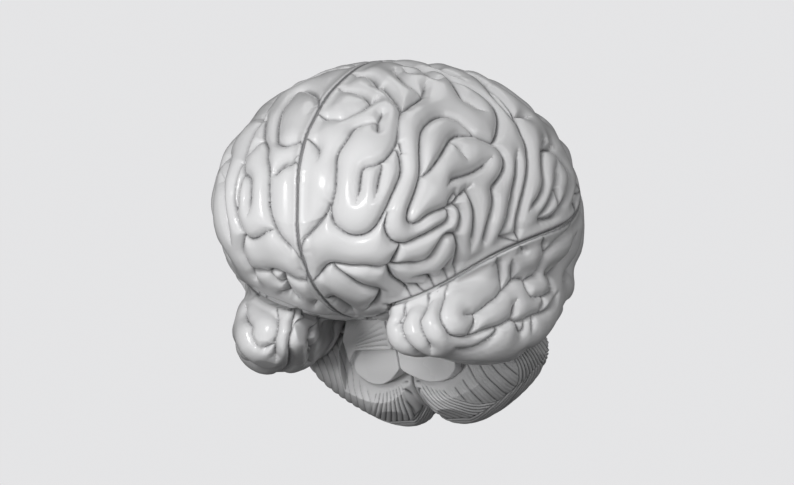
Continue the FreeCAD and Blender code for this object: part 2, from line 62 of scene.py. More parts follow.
# Courses of the grooves on each lobe: level x, y, z in tenths of a millimetre, and depth in hundredths.
CREASES = {
    "left_frontoparietal_lobe": (
        (605,-84,453,100,605,-84,453,100,599,-101,455,100,591,-117,458,100,583,-132,462,100,576,-148,466,100,568,-164,470,100,560,-178,477,100,550,-186,489,100,540,-194,502,100,529,-201,514,100,518,-207,527,100,506,-214,539,100,495,-225,547,100,484,-238,552,100,473,-252,556,100,462,-265,560,100,454,-281,559,100,449,-298,555,100,445,-314,549,100,442,-331,542,100,440,-347,535,100,439,-363,527,100,438,-379,518,100,437,-394,509,100,436,-410,500,100,437,-424,490,100,438,-438,479,100,439,-452,467,100,442,-464,454,100,445,-475,440,100,449,-485,425,100,453,-494,411,100,457,-502,395,100,461,-510,379,100,465,-517,363,100,469,-522,347,100,473,-527,330,100,477,-532,313,100,481,-536,296,100,484,-541,279,100,486,-545,262,100,487,-550,245,100,486,-557,228,100,484,-563,211,100,482,-569,194,100,479,-576,178,100,476,-582,161,100,472,-588,145,100,468,-594,129,100,463,-599,112,100,459,-603,95,100,455,-604,78,98,452,-603,60,98,453,-595,44,98,459,-582,34,98,468,-567,33,98,478,-553,39,100,488,-541,48,100,497,-531,60,100,505,-520,71,100,513,-508,82,100,521,-494,90,100,528,-480,98,100,535,-464,105,100,542,-449,111,100,548,-434,118,100,554,-419,125,100,554,-419,125,100),
        (151,-769,115,87,151,-769,115,87,148,-769,97,91,146,-768,80,95,147,-766,62,99,152,-763,45,100,159,-760,29,100,169,-755,15,100,181,-751,3,100,194,-744,-9,100,206,-737,-19,100,220,-728,-27,100,234,-720,-32,100,250,-712,-34,100,267,-706,-32,100,283,-700,-28,100,299,-696,-21,100,314,-693,-11,100,327,-691,1,100,339,-690,14,100,349,-689,29,100,358,-688,44,100,366,-687,60,100,373,-685,76,100,381,-682,92,100,387,-678,109,100,392,-675,125,100,398,-670,142,100,403,-665,158,100,408,-658,174,100,412,-652,190,100,417,-646,206,100,421,-639,222,100,424,-631,238,100,426,-624,254,100,426,-618,271,100,423,-613,288,100,419,-610,305,100,414,-606,321,100,408,-603,338,100,400,-600,354,100,392,-598,369,100,377,-607,373,100),
        (461,143,726,100,465,161,727,100,480,160,717,100,494,158,705,100,507,156,694,100,521,154,682,100,533,151,670,100,546,149,657,100,558,147,644,100,569,144,630,100,580,142,616,100,590,137,602,100,599,132,588,100,608,125,573,100,616,119,558,100,624,115,543,100,632,113,527,100,640,112,511,100,648,115,495,100,656,117,479,100,663,116,462,100,669,114,446,100,674,109,429,100,679,105,412,100,683,101,395,100,686,97,378,100,689,91,361,100,691,84,345,100,693,78,328,100,694,71,312,100,694,64,295,100,694,57,278,100,695,50,262,100,695,45,244,100,694,39,228,100,693,33,211,100,691,28,193,100,689,24,176,100,687,19,159,100,685,15,142,100,682,13,124,100,679,14,106,100,677,18,89,100,656,31,31,100),
        (712,519,309,80,712,519,309,80,715,506,298,85,719,494,287,91,722,483,275,96,725,473,261,100,728,464,247,100,730,455,233,100,732,446,219,100,733,436,205,100,729,431,196,100),
        (553,-336,17,100,553,-336,17,100,547,-354,15,100,541,-371,13,100,533,-386,7,100,524,-396,-4,100,515,-401,-19,100,505,-403,-34,100,495,-403,-49,100,484,-402,-64,100,473,-401,-79,100,461,-402,-92,100,448,-406,-105,100,435,-414,-114,100,424,-426,-120,100,413,-441,-124,100,404,-456,-126,100,394,-472,-127,100,383,-486,-130,100,371,-499,-133,100,359,-513,-135,100,349,-528,-136,100,336,-540,-139,100,320,-547,-145,100,305,-556,-150,100,292,-568,-153,100,278,-580,-153,100,266,-594,-151,100,252,-605,-150,100,236,-614,-151,100,219,-621,-152,100,202,-627,-153,100,185,-634,-152,100,169,-642,-149,100,152,-649,-147,100,135,-656,-145,100,118,-661,-143,100,118,-661,-143,100),
        (333,-452,556,98,333,-452,556,98,337,-465,544,93,341,-479,533,87,345,-492,520,82,349,-504,508,76,354,-516,495,74,358,-528,481,79,362,-538,467,84,367,-548,452,90,372,-558,438,96,375,-569,423,100,378,-579,409,100,378,-590,394,100,378,-602,380,100,375,-614,366,100,372,-626,353,100,367,-637,340,100,362,-649,327,100,354,-661,315,100,344,-673,306,100,333,-684,297,95,320,-695,290,92,304,-704,287,92,290,-713,280,92,279,-721,268,92,277,-727,252,97,277,-732,234,100,277,-736,216,100,277,-739,198,100,276,-741,180,100,274,-744,162,92,270,-746,144,63,267,-747,126,37,263,-748,109,13),
        (554,-419,125,100,554,-419,125,100,557,-406,113,100,556,-400,97,100,553,-400,79,100,547,-406,64,100,540,-417,51,100,533,-430,41,100,525,-443,32,100,516,-456,23,100,507,-467,13,100,498,-479,4,100,488,-491,-6,100,478,-503,-15,100,468,-515,-23,100,456,-525,-32,100,445,-536,-40,100,433,-547,-48,100,421,-558,-55,100,410,-572,-57,100,400,-587,-57,100,391,-602,-53,100,383,-617,-47,100,377,-630,-37,100,373,-643,-25,100,370,-654,-11,100,370,-663,4,100,371,-671,20,100,374,-671,24,100),
        (605,-84,453,100,605,-84,453,100,614,-78,438,100,622,-69,425,100,630,-60,411,100,638,-53,396,100,643,-52,378,100,647,-55,361,100,649,-62,344,100,649,-71,328,100,648,-82,314,100,646,-94,300,100,644,-107,287,100,642,-120,275,100,640,-134,263,100,637,-147,250,100,636,-157,235,100,638,-156,218,100,640,-150,200,100,640,-151,182,100,638,-154,164,100,636,-158,146,100,634,-161,128,100,631,-163,110,100,627,-166,93,100,623,-166,75,100,619,-164,57,100,614,-162,40,100,614,-162,40,100),
        (605,-84,453,100,605,-84,453,100,605,-70,464,100,604,-56,476,100,603,-43,489,100,601,-31,502,100,598,-20,516,100,594,-9,530,100,589,2,544,100,583,12,558,100,577,21,572,100,569,28,587,100,560,35,601,100,550,40,616,100,539,43,630,100,527,44,643,100,514,44,656,100,500,42,668,100,486,38,679,100,472,32,689,100,458,25,698,100,444,17,706,100,430,8,713,100,417,-3,719,100,402,-12,726,100,387,-17,734,100,371,-21,742,100,355,-24,750,100,355,-24,750,100),
        (718,153,146,100,718,153,146,100,721,171,147,100,724,189,149,100,727,207,152,100,730,224,156,100,733,241,162,100,735,257,170,100,737,272,180,100,738,286,192,100,739,299,205,100,739,312,217,100,739,326,229,100,738,340,240,100,737,354,252,100,735,368,264,100,733,381,276,100,731,394,289,100,728,406,303,100,725,417,316,100,721,427,331,100,717,435,347,100,713,439,364,100,709,436,382,100,706,428,398,100,703,416,411,100,701,402,422,100,699,386,431,100,697,370,440,100,695,355,449,100,692,341,460,100,687,329,473,100,687,329,473,100),
        (701,69,165,12,705,82,178,36,709,94,190,62,712,108,201,92,715,122,213,100,717,134,226,100,719,145,240,100,720,155,255,100,720,165,270,100,719,174,286,100,718,180,302,100,715,183,320,100,713,183,338,100,710,185,355,100,706,187,373,100,703,192,390,100,699,197,407,100,695,203,423,100,691,212,439,100,688,224,451,100,686,240,460,100,686,257,465,100,686,275,468,100,686,293,470,100,687,311,472,100,687,329,473,100,687,329,473,100),
        (556,-181,481,79,556,-195,472,79,549,-211,473,84,543,-228,472,90,537,-244,472,95,530,-261,471,100,525,-277,467,100,522,-293,460,100,521,-309,452,100,520,-324,442,100,520,-338,432,100,520,-351,420,100,520,-364,408,100,520,-377,396,100,520,-390,384,100,520,-403,372,100,519,-416,360,100,519,-429,348,100,518,-442,336,100,516,-455,324,100,515,-467,311,100,513,-480,299,100,510,-493,287,100,506,-506,276,94,501,-520,266,89,495,-533,256,83,486,-547,254,83),
        (424,173,756,100,424,173,756,100,436,163,747,100,448,154,737,100,460,144,727,100,471,134,716,100,483,125,706,100,495,116,694,100,507,111,682,100,520,107,670,100,533,105,657,100,546,105,644,100,558,105,630,100,570,106,616,100,582,107,602,100,593,109,588,100,604,111,573,100,606,126,575,100),
        (718,153,146,100,718,153,146,100,721,161,162,100,724,172,175,100,726,184,189,100,728,195,202,100,730,206,216,100,731,217,230,100,732,228,244,100,733,238,258,100,733,249,273,100,732,258,287,100,730,267,302,100,728,275,318,100,726,282,334,100,723,290,350,100,720,296,367,90,716,301,383,62,712,304,400,36,707,303,417,13),
        (563,-210,-35,15,570,-217,-20,40,577,-223,-5,66,583,-227,11,91,589,-231,28,100,594,-234,45,100,598,-238,62,100,602,-243,78,100,604,-247,95,100,605,-252,113,100,606,-257,130,100,605,-264,146,100,603,-272,162,100,601,-281,177,100,598,-290,192,100,594,-301,206,100,589,-312,217,100),
        (616,-134,379,15,614,-148,368,40,613,-161,357,65,611,-175,346,90,609,-190,336,100,606,-205,327,100,603,-220,319,100,600,-236,311,100,597,-251,304,100,593,-267,297,100,588,-283,291,100,584,-299,285,100,580,-315,279,100,575,-332,274,100,571,-348,269,100,566,-364,264,100,562,-380,258,100,558,-395,249,90,555,-408,238,61,552,-421,226,36,548,-435,215,12),
        (118,-661,-143,100,118,-661,-143,100,121,-648,-155,100,127,-636,-165,100,136,-623,-174,100,144,-610,-182,100,153,-596,-189,100,160,-581,-196,100,167,-565,-201,100,172,-550,-207,100,178,-534,-211,100,185,-518,-216,100,193,-502,-220,100,202,-488,-223,100,212,-473,-225,100,220,-457,-227,100,227,-441,-230,100,231,-424,-234,100,233,-407,-238,100,233,-407,-238,100),
        (539,-42,592,14,528,-54,599,38,516,-63,608,63,504,-71,618,90,491,-78,628,100,479,-88,635,100,467,-99,642,100,454,-100,654,100,443,-94,666,100,432,-87,678,100,421,-79,689,100,410,-71,700,100,399,-63,711,100,387,-54,721,100,376,-45,731,100,365,-35,740,100,355,-24,750,100,355,-24,750,100),
        (198,-477,602,96,198,-477,602,96,197,-492,591,96,193,-506,581,97,187,-521,571,98,180,-534,561,99,171,-548,552,100,161,-560,543,100,151,-572,534,98,141,-585,524,93,130,-596,515,93,115,-604,509,93,97,-605,511,93,79,-603,514,94,61,-602,517,100,43,-601,519,100,7,-594,519,100),
        (406,-244,-181,100,405,-251,-182,100,409,-268,-175,100,412,-285,-169,100,414,-302,-164,100,414,-320,-161,100,407,-337,-162,100,397,-352,-166,88,389,-369,-168,64,381,-385,-168,39,372,-401,-170,15),
        (568,-380,149,100,568,-380,149,100,574,-363,144,100,579,-347,136,100,581,-336,121,100,580,-330,104,100,578,-327,85,100,574,-326,67,100,568,-327,49,100,561,-330,32,100,553,-336,17,100,553,-336,17,100),
        (48,-267,-294,15,49,-284,-293,41,50,-301,-291,67,51,-319,-289,94,52,-336,-287,100,52,-354,-284,100,52,-371,-281,100,52,-388,-278,100,52,-405,-274,100,50,-422,-269,100,48,-439,-265,100,44,-456,-260,100,37,-471,-256,100,27,-485,-252,100,8,-506,-241,100),
        (333,-717,127,12,339,-713,142,35,344,-710,158,60,347,-707,175,88,349,-704,192,100,350,-700,208,100,351,-695,225,100,352,-690,241,100,354,-685,258,94,355,-679,274,89,354,-674,290,83,344,-673,306,83),
        (322,-546,-144,100,325,-534,-148,100,322,-518,-157,100,319,-503,-166,100,316,-487,-174,100,314,-471,-182,100,313,-454,-188,100,314,-436,-194,100,316,-418,-198,100,319,-401,-202,100,321,-383,-205,100,322,-365,-209,100,322,-347,-212,100,321,-329,-216,100,320,-312,-220,100,317,-281,-227,100),
        (262,47,806,83,262,47,806,83,279,46,800,89,295,44,794,94,311,41,787,100,326,38,779,100,342,34,772,100,357,31,764,89,372,29,755,65,387,29,747,40,403,29,738,15),
        (136,-770,115,83,136,-770,115,83,130,-770,98,89,123,-770,81,94,114,-770,66,100,104,-769,50,97,92,-768,37,91,79,-766,25,86,65,-764,13,80,52,-762,0,75,10,-751,-39,72),
        (10,-278,739,74,38,-278,740,79,56,-272,742,84,74,-270,741,90,92,-274,737,96,108,-281,731,99,123,-291,724,100,136,-302,716,100,147,-313,708,100,158,-326,699,97,168,-339,690,89,177,-352,681,60,186,-366,671,34,194,-380,662,11),
        (568,-380,149,100,568,-380,149,100,573,-369,162,100,576,-358,176,100,580,-347,189,100,583,-334,200,100,587,-320,211,95,591,-306,221,64,594,-294,233,37,596,-283,247,12),
        (475,-201,-138,100,510,-239,-95,100,517,-250,-83,100,524,-260,-71,100,531,-270,-58,100,537,-279,-44,100,543,-288,-31,100,548,-298,-18,100,551,-310,-5,100,552,-323,6,100,553,-336,17,100,553,-336,17,100),
        (238,-36,794,96,238,-36,794,96,254,-29,790,97,271,-23,786,99,288,-19,781,100,306,-17,774,100,322,-18,766,100,339,-21,758,100,355,-24,750,100,355,-24,750,100),
        (233,-407,-238,100,233,-407,-238,100,223,-393,-244,100,213,-378,-250,100,203,-364,-256,100,191,-350,-262,100,180,-336,-267,100,167,-324,-272,100,153,-312,-277,95,138,-302,-281,64,121,-294,-285,37,104,-287,-289,12),
        (354,-72,735,11,348,-89,732,32,340,-105,730,56,329,-118,731,83,314,-117,739,97,301,-108,747,100,290,-97,756,100,279,-86,764,100,269,-73,771,100,258,-61,779,100,248,-48,787,100,238,-36,794,100,238,-36,794,100),
        (573,-287,350,12,568,-283,367,44,561,-283,384,80,553,-290,399,99,544,-301,411,95,535,-313,421,89,525,-324,433,84,520,-326,441,84),
        (118,-661,-143,100,118,-661,-143,100,102,-661,-146,100,86,-657,-152,100,73,-650,-160,100,61,-641,-169,100,50,-633,-177,100,36,-626,-184,100,21,-621,-189,100,9,-616,-190,100),
        (333,-452,556,100,333,-452,556,100,339,-437,562,100,343,-422,569,97,346,-407,577,92,347,-393,586,86,348,-378,595,81,348,-363,603,75,347,-348,612,72,347,-333,621,72,346,-318,629,72,349,-323,625,72),
        (7,-419,657,72,73,-425,657,76,90,-425,655,81,107,-425,653,85,124,-428,650,91,139,-432,644,96,153,-439,637,98,166,-447,629,99,177,-457,620,100,188,-466,611,100,198,-477,602,100,198,-477,602,100),
        (273,-161,741,12,257,-156,749,45,241,-149,756,81,227,-140,764,95,212,-132,771,77,197,-123,779,42,182,-116,786,12),
        (340,-538,-137,100,352,-547,-125,100,362,-554,-114,100,372,-560,-102,100,383,-564,-90,100,394,-568,-77,100,403,-573,-64,100,408,-575,-57,100),
        (366,-259,-202,100,368,-270,-202,100,363,-288,-201,100,358,-306,-200,100,352,-324,-200,100,345,-341,-201,100,336,-357,-204,100,322,-355,-211,100),
        (238,-36,794,100,238,-36,794,100,222,-37,798,100,207,-37,802,100,192,-38,806,100,176,-39,809,100,176,-39,809,100),
        (526,-264,-67,80,520,-272,-72,80,507,-279,-85,84,494,-279,-100,89,480,-275,-115,94,474,-276,-122,94),
        (451,-300,-137,12,464,-292,-127,51,469,-274,-126,94,466,-256,-133,100,460,-240,-142,100,453,-219,-152,100),
        (739,305,211,100,739,293,230,100,737,287,250,100,735,282,269,100,733,277,288,100,731,264,296,100),
        (333,-452,556,100,333,-452,556,100,322,-442,570,96,309,-433,583,91,296,-425,596,85,282,-416,608,80,287,-402,614,80),
        (378,-683,87,81,387,-675,77,81,382,-675,59,86,377,-674,42,92,374,-671,24,97,371,-671,20,97),
        (577,-355,179,83,569,-379,196,83,566,-390,182,89,563,-399,167,94,560,-407,150,100,562,-397,143,100),
        (605,269,612,12,604,251,610,44,603,233,608,79,602,216,606,96,600,198,604,93,599,180,602,88,598,162,600,82,593,136,597,82),
        (198,-477,602,99,198,-477,602,99,205,-463,608,95,210,-449,616,89,211,-435,625,57,211,-421,634,12),
        (656,378,532,15,662,369,520,57,669,359,508,100,675,349,496,100,681,339,485,100,687,329,473,100,687,329,473,100),
        (614,-162,40,100,614,-162,40,100,609,-158,25,100,603,-154,10,86,597,-149,-5,15),
        (403,-601,349,80,411,-588,357,80,403,-584,372,85,396,-580,387,91,390,-574,403,96,378,-581,407,96),
        (568,-380,149,100,568,-380,149,100,563,-394,143,100,558,-407,136,100,554,-419,125,100,554,-419,125,100),
        (639,-70,42,100,640,-60,37,100,644,-43,37,100,649,-26,37,100,653,-8,37,100,663,36,37,100),
        (686,241,461,97,682,244,477,97,676,258,490,92,671,273,504,74,666,287,517,12),
        (10,-702,403,100,11,-704,404,100,28,-706,400,100,43,-709,392,100,56,-715,382,100,65,-721,368,100,70,-728,353,86,74,-736,337,62,75,-743,321,39,73,-749,305,15),
        (151,-769,115,100,151,-769,115,100,155,-769,133,100,159,-768,150,100,164,-767,168,100,166,-766,186,100,167,-764,204,100,166,-762,222,100,166,-758,240,100,165,-754,257,100,163,-750,275,100,160,-745,292,100,157,-739,309,100,156,-732,326,100,157,-725,342,100,161,-716,358,100,167,-708,373,100,174,-698,386,100,179,-687,400,100,184,-677,414,100,187,-665,427,100,189,-653,441,100,191,-641,454,100,197,-628,466,100,207,-616,475,100,219,-605,482,100,233,-595,488,100,248,-585,492,100,262,-574,496,100,275,-563,501,100,275,-563,501,100),
        (269,-498,559,15,271,-511,548,57,273,-524,536,100,274,-537,525,100,275,-550,513,100,275,-563,501,100,275,-563,501,100),
        (275,-563,501,100,275,-563,501,100,280,-573,489,100,285,-582,476,100,289,-591,463,100,294,-600,450,86,299,-609,437,50,304,-618,424,15),
        (151,-769,115,100,147,-769,115,100,145,-769,96,100,147,-768,77,100,151,-765,58,100,156,-762,40,100,162,-758,22,100,162,-758,24,100),
        (136,-770,115,100,140,-770,115,100,135,-770,97,100,129,-770,80,100,121,-769,63,100,110,-768,48,100,98,-767,34,100,84,-765,21,100,70,-763,9,100,56,-761,-3,100,44,-757,-17,100,32,-753,-31,100,22,-748,-46,100,13,-741,-61,100,5,-732,-75,100,9,-727,-78,100),
        (170,-341,689,100,189,-329,690,100,202,-338,682,100,214,-346,674,100,227,-355,665,100,239,-364,656,100,250,-373,647,100,261,-382,637,100,272,-391,628,100,283,-399,617,100,294,-408,607,100,305,-417,596,100,315,-425,585,100,326,-432,574,100,336,-440,562,100,336,-440,562,100),
        (336,-440,562,100,336,-440,562,100,339,-425,571,100,341,-409,579,100,343,-394,588,100,345,-378,597,100,346,-362,605,100,347,-346,613,100,348,-331,621,100,349,-315,629,100,349,-299,637,100,349,-283,645,100,350,-267,653,100,350,-267,653,100),
        (149,-131,787,15,158,-144,780,41,168,-158,773,66,178,-171,765,92,187,-184,757,100,198,-197,750,100,208,-209,742,100,220,-221,734,100,232,-231,725,100,245,-240,717,100,259,-247,708,100,274,-252,700,100,290,-254,691,100,306,-256,683,100,321,-259,674,100,336,-262,664,100,350,-267,653,100,350,-267,653,100),
        (350,-267,653,100,350,-267,653,100,345,-252,663,100,341,-238,673,100,336,-223,682,100,331,-209,692,100,326,-194,701,76,321,-179,711,45,315,-165,720,15),
        (655,42,433,15,658,37,417,41,662,33,399,66,666,28,383,92,669,22,366,100,671,16,349,100,673,11,332,100,674,6,315,100,674,-1,298,100,675,-8,281,100,675,-15,265,100,675,-22,248,100,676,-27,231,100,675,-31,213,100,674,-37,196,100,672,-42,179,100,670,-47,162,100,668,-50,144,100,665,-53,127,100,661,-56,110,100,657,-59,92,100,652,-64,76,100,646,-68,59,100,639,-70,42,100,640,-60,37,100),
        (7,-69,-280,95,19,-81,-286,95,28,-97,-287,95,41,-109,-287,95,56,-120,-288,95,71,-129,-288,95,87,-138,-287,95,103,-145,-286,95,120,-150,-284,95,138,-154,-281,95,155,-157,-279,95,172,-162,-276,95,182,-176,-275,95,187,-194,-275,95,194,-206,-269,95),
        (194,-20,-263,95,181,-19,-265,95,163,-16,-268,95,145,-12,-270,95,128,-5,-271,95,112,4,-271,95,96,13,-269,95,80,21,-266,95,63,26,-261,95,47,29,-254,95,31,30,-244,95,8,28,-231,95),
        (176,-39,809,95,176,-39,809,95,167,-25,814,95,153,-16,819,95,137,-9,823,95,121,-2,827,95,105,4,830,95,87,8,832,95,70,12,834,95,53,15,835,95,35,14,836,95,19,6,835,95,7,6,830,95),
        (200,6,-144,95,181,34,-134,95,172,49,-126,95,172,68,-122,95,176,87,-120,95,181,106,-120,95,194,131,-116,95),
        (132,156,849,95,132,156,849,95,116,149,851,95,98,146,852,95,80,144,853,95,63,144,854,95,45,146,855,95,29,153,856,95,21,169,857,95,19,187,858,95,19,205,859,95,19,223,859,95,19,241,859,95,19,259,858,95,19,277,857,95,19,295,856,95,20,312,853,95,22,330,851,95,26,347,848,95,29,364,844,95,31,382,841,95,31,399,837,95,31,417,832,95,31,434,828,95,31,451,823,95,31,469,818,95,32,486,812,95,36,502,807,95,40,519,801,95,43,535,794,95,44,552,787,95,45,568,780,95,49,584,772,95,53,599,764,95,57,614,755,95,62,629,746,95,68,643,737,95,76,656,728,95,86,668,719,95,97,679,710,95,108,690,701,95,120,700,692,95,131,710,682,95,140,721,671,95,144,734,659,95,156,746,644,95),
        (132,156,849,95,132,156,849,95,146,145,846,95,160,134,843,95,174,123,840,95,189,114,836,95,205,107,832,95,221,99,827,95,236,90,822,95,248,78,816,95,258,63,811,95,262,47,806,95,262,47,806,95),
        (132,156,849,95,132,156,849,95,135,174,850,95,137,192,850,95,139,210,850,95,140,228,851,95,142,246,850,95,147,263,849,95,152,281,848,95,155,298,846,95,157,316,844,95,159,334,841,95,163,351,838,95,167,368,834,95,168,386,830,95,169,404,826,95,169,421,821,95,169,439,817,95,169,456,812,95,169,473,807,95,169,490,801,95,169,508,795,95,171,524,789,95,176,540,782,95,181,556,775,95,187,571,767,95,195,585,759,95,203,599,751,95,213,611,742,95,224,623,733,95,235,634,724,95,246,645,715,95,256,656,705,95,268,665,695,95,282,672,686,95,298,675,679,95,315,676,673,95,333,675,668,95,350,674,663,95,367,671,658,95,384,669,652,95,400,668,645,95,417,667,637,95,433,664,629,95,449,660,623,95,465,654,617,95,481,648,611,95,496,640,606,95,511,630,601,95,525,621,596,95,539,611,590,95,552,600,584,95,565,590,576,95,578,580,568,95,590,570,559,95,601,558,552,95,612,546,544,95,623,536,534,95,634,530,520,95,642,532,505,95,649,537,489,95,655,543,473,95,660,549,456,95,665,555,440,95,669,561,424,95,674,567,407,95,678,571,390,95,682,575,373,95,686,577,356,95,691,575,338,95,697,567,324,95,703,553,315,95,707,536,311,95,712,519,309,95,712,519,309,95),
        (305,330,810,95,305,330,810,95,296,315,815,95,286,301,819,95,279,284,822,95,276,267,824,95,275,249,824,95,278,231,823,95,286,215,820,95,298,203,815,95,313,194,810,95,328,187,803,95,344,183,796,95,361,181,789,95,377,181,782,95,393,179,774,95,409,176,765,95,424,173,756,95,424,173,756,95),
        (305,330,810,95,305,330,810,95,322,330,805,95,338,328,799,95,355,324,793,95,371,320,787,95,386,316,780,95,402,310,773,95,416,304,766,95,431,298,758,95,446,295,749,95,461,294,740,95,476,295,730,95,490,299,720,95,502,308,711,95,512,319,703,95,522,331,694,95,531,343,685,95,541,355,676,95,549,367,666,95,558,379,657,95,566,391,647,95,573,404,637,95,578,419,629,95,578,419,629,95),
        (305,330,810,95,305,330,810,95,304,348,808,95,303,366,805,95,300,383,802,95,297,401,799,95,296,418,796,95,296,436,792,95,297,453,787,95,300,470,781,95,304,486,775,95,309,502,768,95,316,517,761,95,324,531,753,95,334,543,744,95,346,553,736,95,360,561,727,95,375,566,719,95,391,568,711,95,408,565,705,95,424,559,700,95,439,550,696,95,453,540,691,95,467,530,687,95,480,518,683,95,480,518,683,95),
        (428,431,739,14,438,445,730,48,448,459,721,82,456,474,712,95,465,489,703,95,473,503,693,95,480,518,683,95,480,518,683,95),
        (480,518,683,95,480,518,683,95,495,512,675,95,509,506,667,95,523,498,659,95,535,489,651,95,547,478,643,95,558,466,636,95,567,452,632,95,574,436,629,95,578,419,629,95,578,419,629,95),
        (532,693,520,95,541,690,516,95,554,684,507,95,567,678,497,95,579,672,487,95,591,666,476,72,603,660,465,43,614,653,453,14),
    ),
    "left_temporo_occipital_lobe": (
        (726,436,188,86,731,427,185,86,733,415,172,86,734,402,159,86,735,390,146,86,736,377,134,86,736,364,121,86,736,350,109,86,735,336,98,86,734,322,88,86,733,307,78,86,731,292,67,86,728,278,56,86,725,265,45,86,721,252,33,86,717,239,21,86,713,227,8,86,707,219,-6,86,699,217,-22,86,691,218,-38,86,681,222,-53,86,671,225,-67,86,662,219,-81,86,657,204,-89,86,654,188,-96,86,651,172,-103,86,648,156,-112,86,651,149,-127,86,657,151,-144,86,664,154,-160,86,672,163,-173,86,678,179,-178,86,681,196,-176,86,684,214,-173,86,687,231,-170,86,692,248,-169,86,692,248,-169,86),
        (621,-45,-341,86,621,-45,-341,86,614,-61,-346,86,607,-77,-352,86,600,-92,-359,86,593,-106,-367,86,584,-120,-375,86,575,-133,-385,86,566,-146,-393,86,556,-159,-401,86,547,-174,-407,86,538,-189,-411,86,530,-205,-414,86,522,-222,-414,86,515,-239,-413,86,509,-256,-410,86,503,-271,-403,86,499,-285,-392,86,495,-296,-378,86,489,-305,-363,86,483,-312,-348,86,476,-315,-331,86,471,-313,-313,86,467,-309,-296,86,464,-302,-280,86,462,-294,-263,86,459,-285,-248,86,456,-273,-234,86,455,-261,-221,86,454,-248,-208,86,452,-234,-196,85,452,-221,-183,84,451,-209,-169,83,456,-205,-156,81),
        (572,-168,-291,86,572,-168,-291,86,575,-153,-282,86,578,-138,-273,86,579,-122,-264,86,580,-107,-255,86,581,-92,-245,86,584,-78,-235,86,587,-63,-226,86,591,-48,-217,86,594,-33,-208,86,598,-20,-196,86,601,-8,-184,86,603,5,-171,86,607,19,-162,86,612,34,-154,86,615,49,-145,86,618,64,-135,86,622,77,-124,86,627,92,-115,86,632,108,-112,86,637,125,-110,86,642,142,-109,86,648,153,-115,86),
        (294,-289,-249,86,297,-311,-270,86,300,-324,-283,86,303,-338,-295,86,303,-349,-309,86,299,-355,-326,86,295,-355,-344,86,295,-355,-362,86,299,-354,-380,86,303,-352,-398,86,308,-347,-415,86,312,-340,-432,86,319,-331,-447,86,326,-319,-458,86,331,-302,-465,86,335,-285,-469,86,338,-267,-473,86,342,-249,-476,86,342,-249,-476,86),
        (490,-207,-449,10,488,-189,-453,30,487,-171,-456,53,487,-153,-459,77,491,-135,-460,86,499,-119,-459,86,510,-105,-456,86,524,-94,-450,86,538,-85,-443,86,552,-77,-435,86,566,-70,-425,86,578,-63,-414,86,590,-57,-402,86,601,-50,-388,86,610,-43,-374,86,618,-40,-358,86,621,-45,-341,86,621,-45,-341,86),
        (381,-254,-208,86,385,-290,-250,86,387,-303,-263,86,388,-316,-275,86,388,-329,-287,86,388,-341,-300,86,386,-351,-315,86,383,-355,-332,86,385,-355,-349,86,390,-354,-367,86,396,-351,-383,86,400,-346,-400,86,404,-340,-416,86,409,-331,-431,86,413,-320,-445,86,415,-306,-455,86,412,-290,-463,84,406,-274,-468,57,400,-258,-473,32,393,-242,-477,10),
        (722,498,130,13,721,491,113,35,719,485,96,57,716,480,79,79,712,476,62,86,706,471,45,86,700,464,30,86,695,454,15,86,689,443,2,86,684,431,-10,86,680,417,-22,86,677,402,-32,86,676,386,-41,86,676,370,-49,86,676,353,-56,86,677,342,-64,86),
        (694,393,-131,13,696,380,-143,35,697,366,-156,57,698,353,-168,79,699,340,-181,86,699,327,-193,86,699,312,-204,86,699,297,-214,86,698,281,-223,86,697,265,-231,86,696,248,-238,86,695,231,-244,86,693,213,-249,86,691,196,-254,86,689,179,-259,86,686,162,-265,86,682,145,-272,86,678,130,-280,86,674,115,-289,86,674,115,-289,86),
        (386,-273,-231,86,384,-269,-226,86,388,-258,-214,86,393,-248,-202,86,397,-238,-190,86,394,-230,-182,86),
        (659,62,-304,86,659,62,-304,86,655,45,-299,86,650,28,-298,86,645,12,-303,86,640,-2,-313,86,634,-16,-323,86,628,-30,-332,86,621,-45,-341,86,621,-45,-341,86),
        (572,-168,-291,86,572,-168,-291,86,575,-166,-308,86,576,-166,-326,86,573,-169,-343,86,568,-174,-359,81,562,-178,-375,76,554,-181,-390,72,550,-168,-405,72),
        (655,579,-12,86,655,579,-12,86,659,564,-20,86,663,548,-29,86,667,532,-38,86,671,516,-46,86,675,501,-55,81,679,485,-64,59,683,469,-73,36,686,454,-82,13),
        (714,229,11,86,714,213,15,86,717,205,29,86,719,195,42,86,719,184,54,86,719,172,64,86,719,159,74,86,714,159,76,86),
        (686,73,0,70,683,64,-1,70,679,47,4,75,672,33,11,79,658,31,21,84,656,31,21,86),
        (647,69,-202,10,650,59,-218,43,652,50,-233,80,653,42,-249,84,653,36,-266,86,651,29,-283,86,652,35,-297,86),
        (624,84,-118,86,628,72,-109,86,635,60,-97,86,640,49,-84,82,645,37,-71,78,649,26,-57,42,651,14,-43,10),
        (688,174,-260,86,687,172,-269,86,684,169,-286,86,681,170,-303,84,676,170,-319,55,671,169,-335,12),
        (657,104,-350,86,657,104,-350,86,663,113,-337,86,668,116,-322,86,672,116,-306,86,674,115,-289,86,674,115,-289,86),
        (695,230,-244,86,695,220,-233,86,695,229,-218,86,695,237,-203,86,694,243,-186,86,692,248,-169,86,692,248,-169,86),
        (295,-355,-338,86,270,-352,-337,86,279,-351,-319,86,285,-343,-302,86,287,-330,-288,86,294,-289,-249,86),
        (572,-168,-291,86,572,-168,-291,86,562,-184,-293,86,553,-200,-296,81,544,-215,-299,52,536,-231,-304,11),
        (687,322,-115,86,695,341,-131,86,694,326,-138,86,693,311,-144,86,693,295,-151,86,693,280,-157,86,692,264,-163,86,692,248,-169,86,692,248,-169,86),
        (676,334,-63,86,677,342,-64,86,681,336,-81,86,684,329,-97,85,686,322,-113,84,689,314,-128,83,694,319,-141,83),
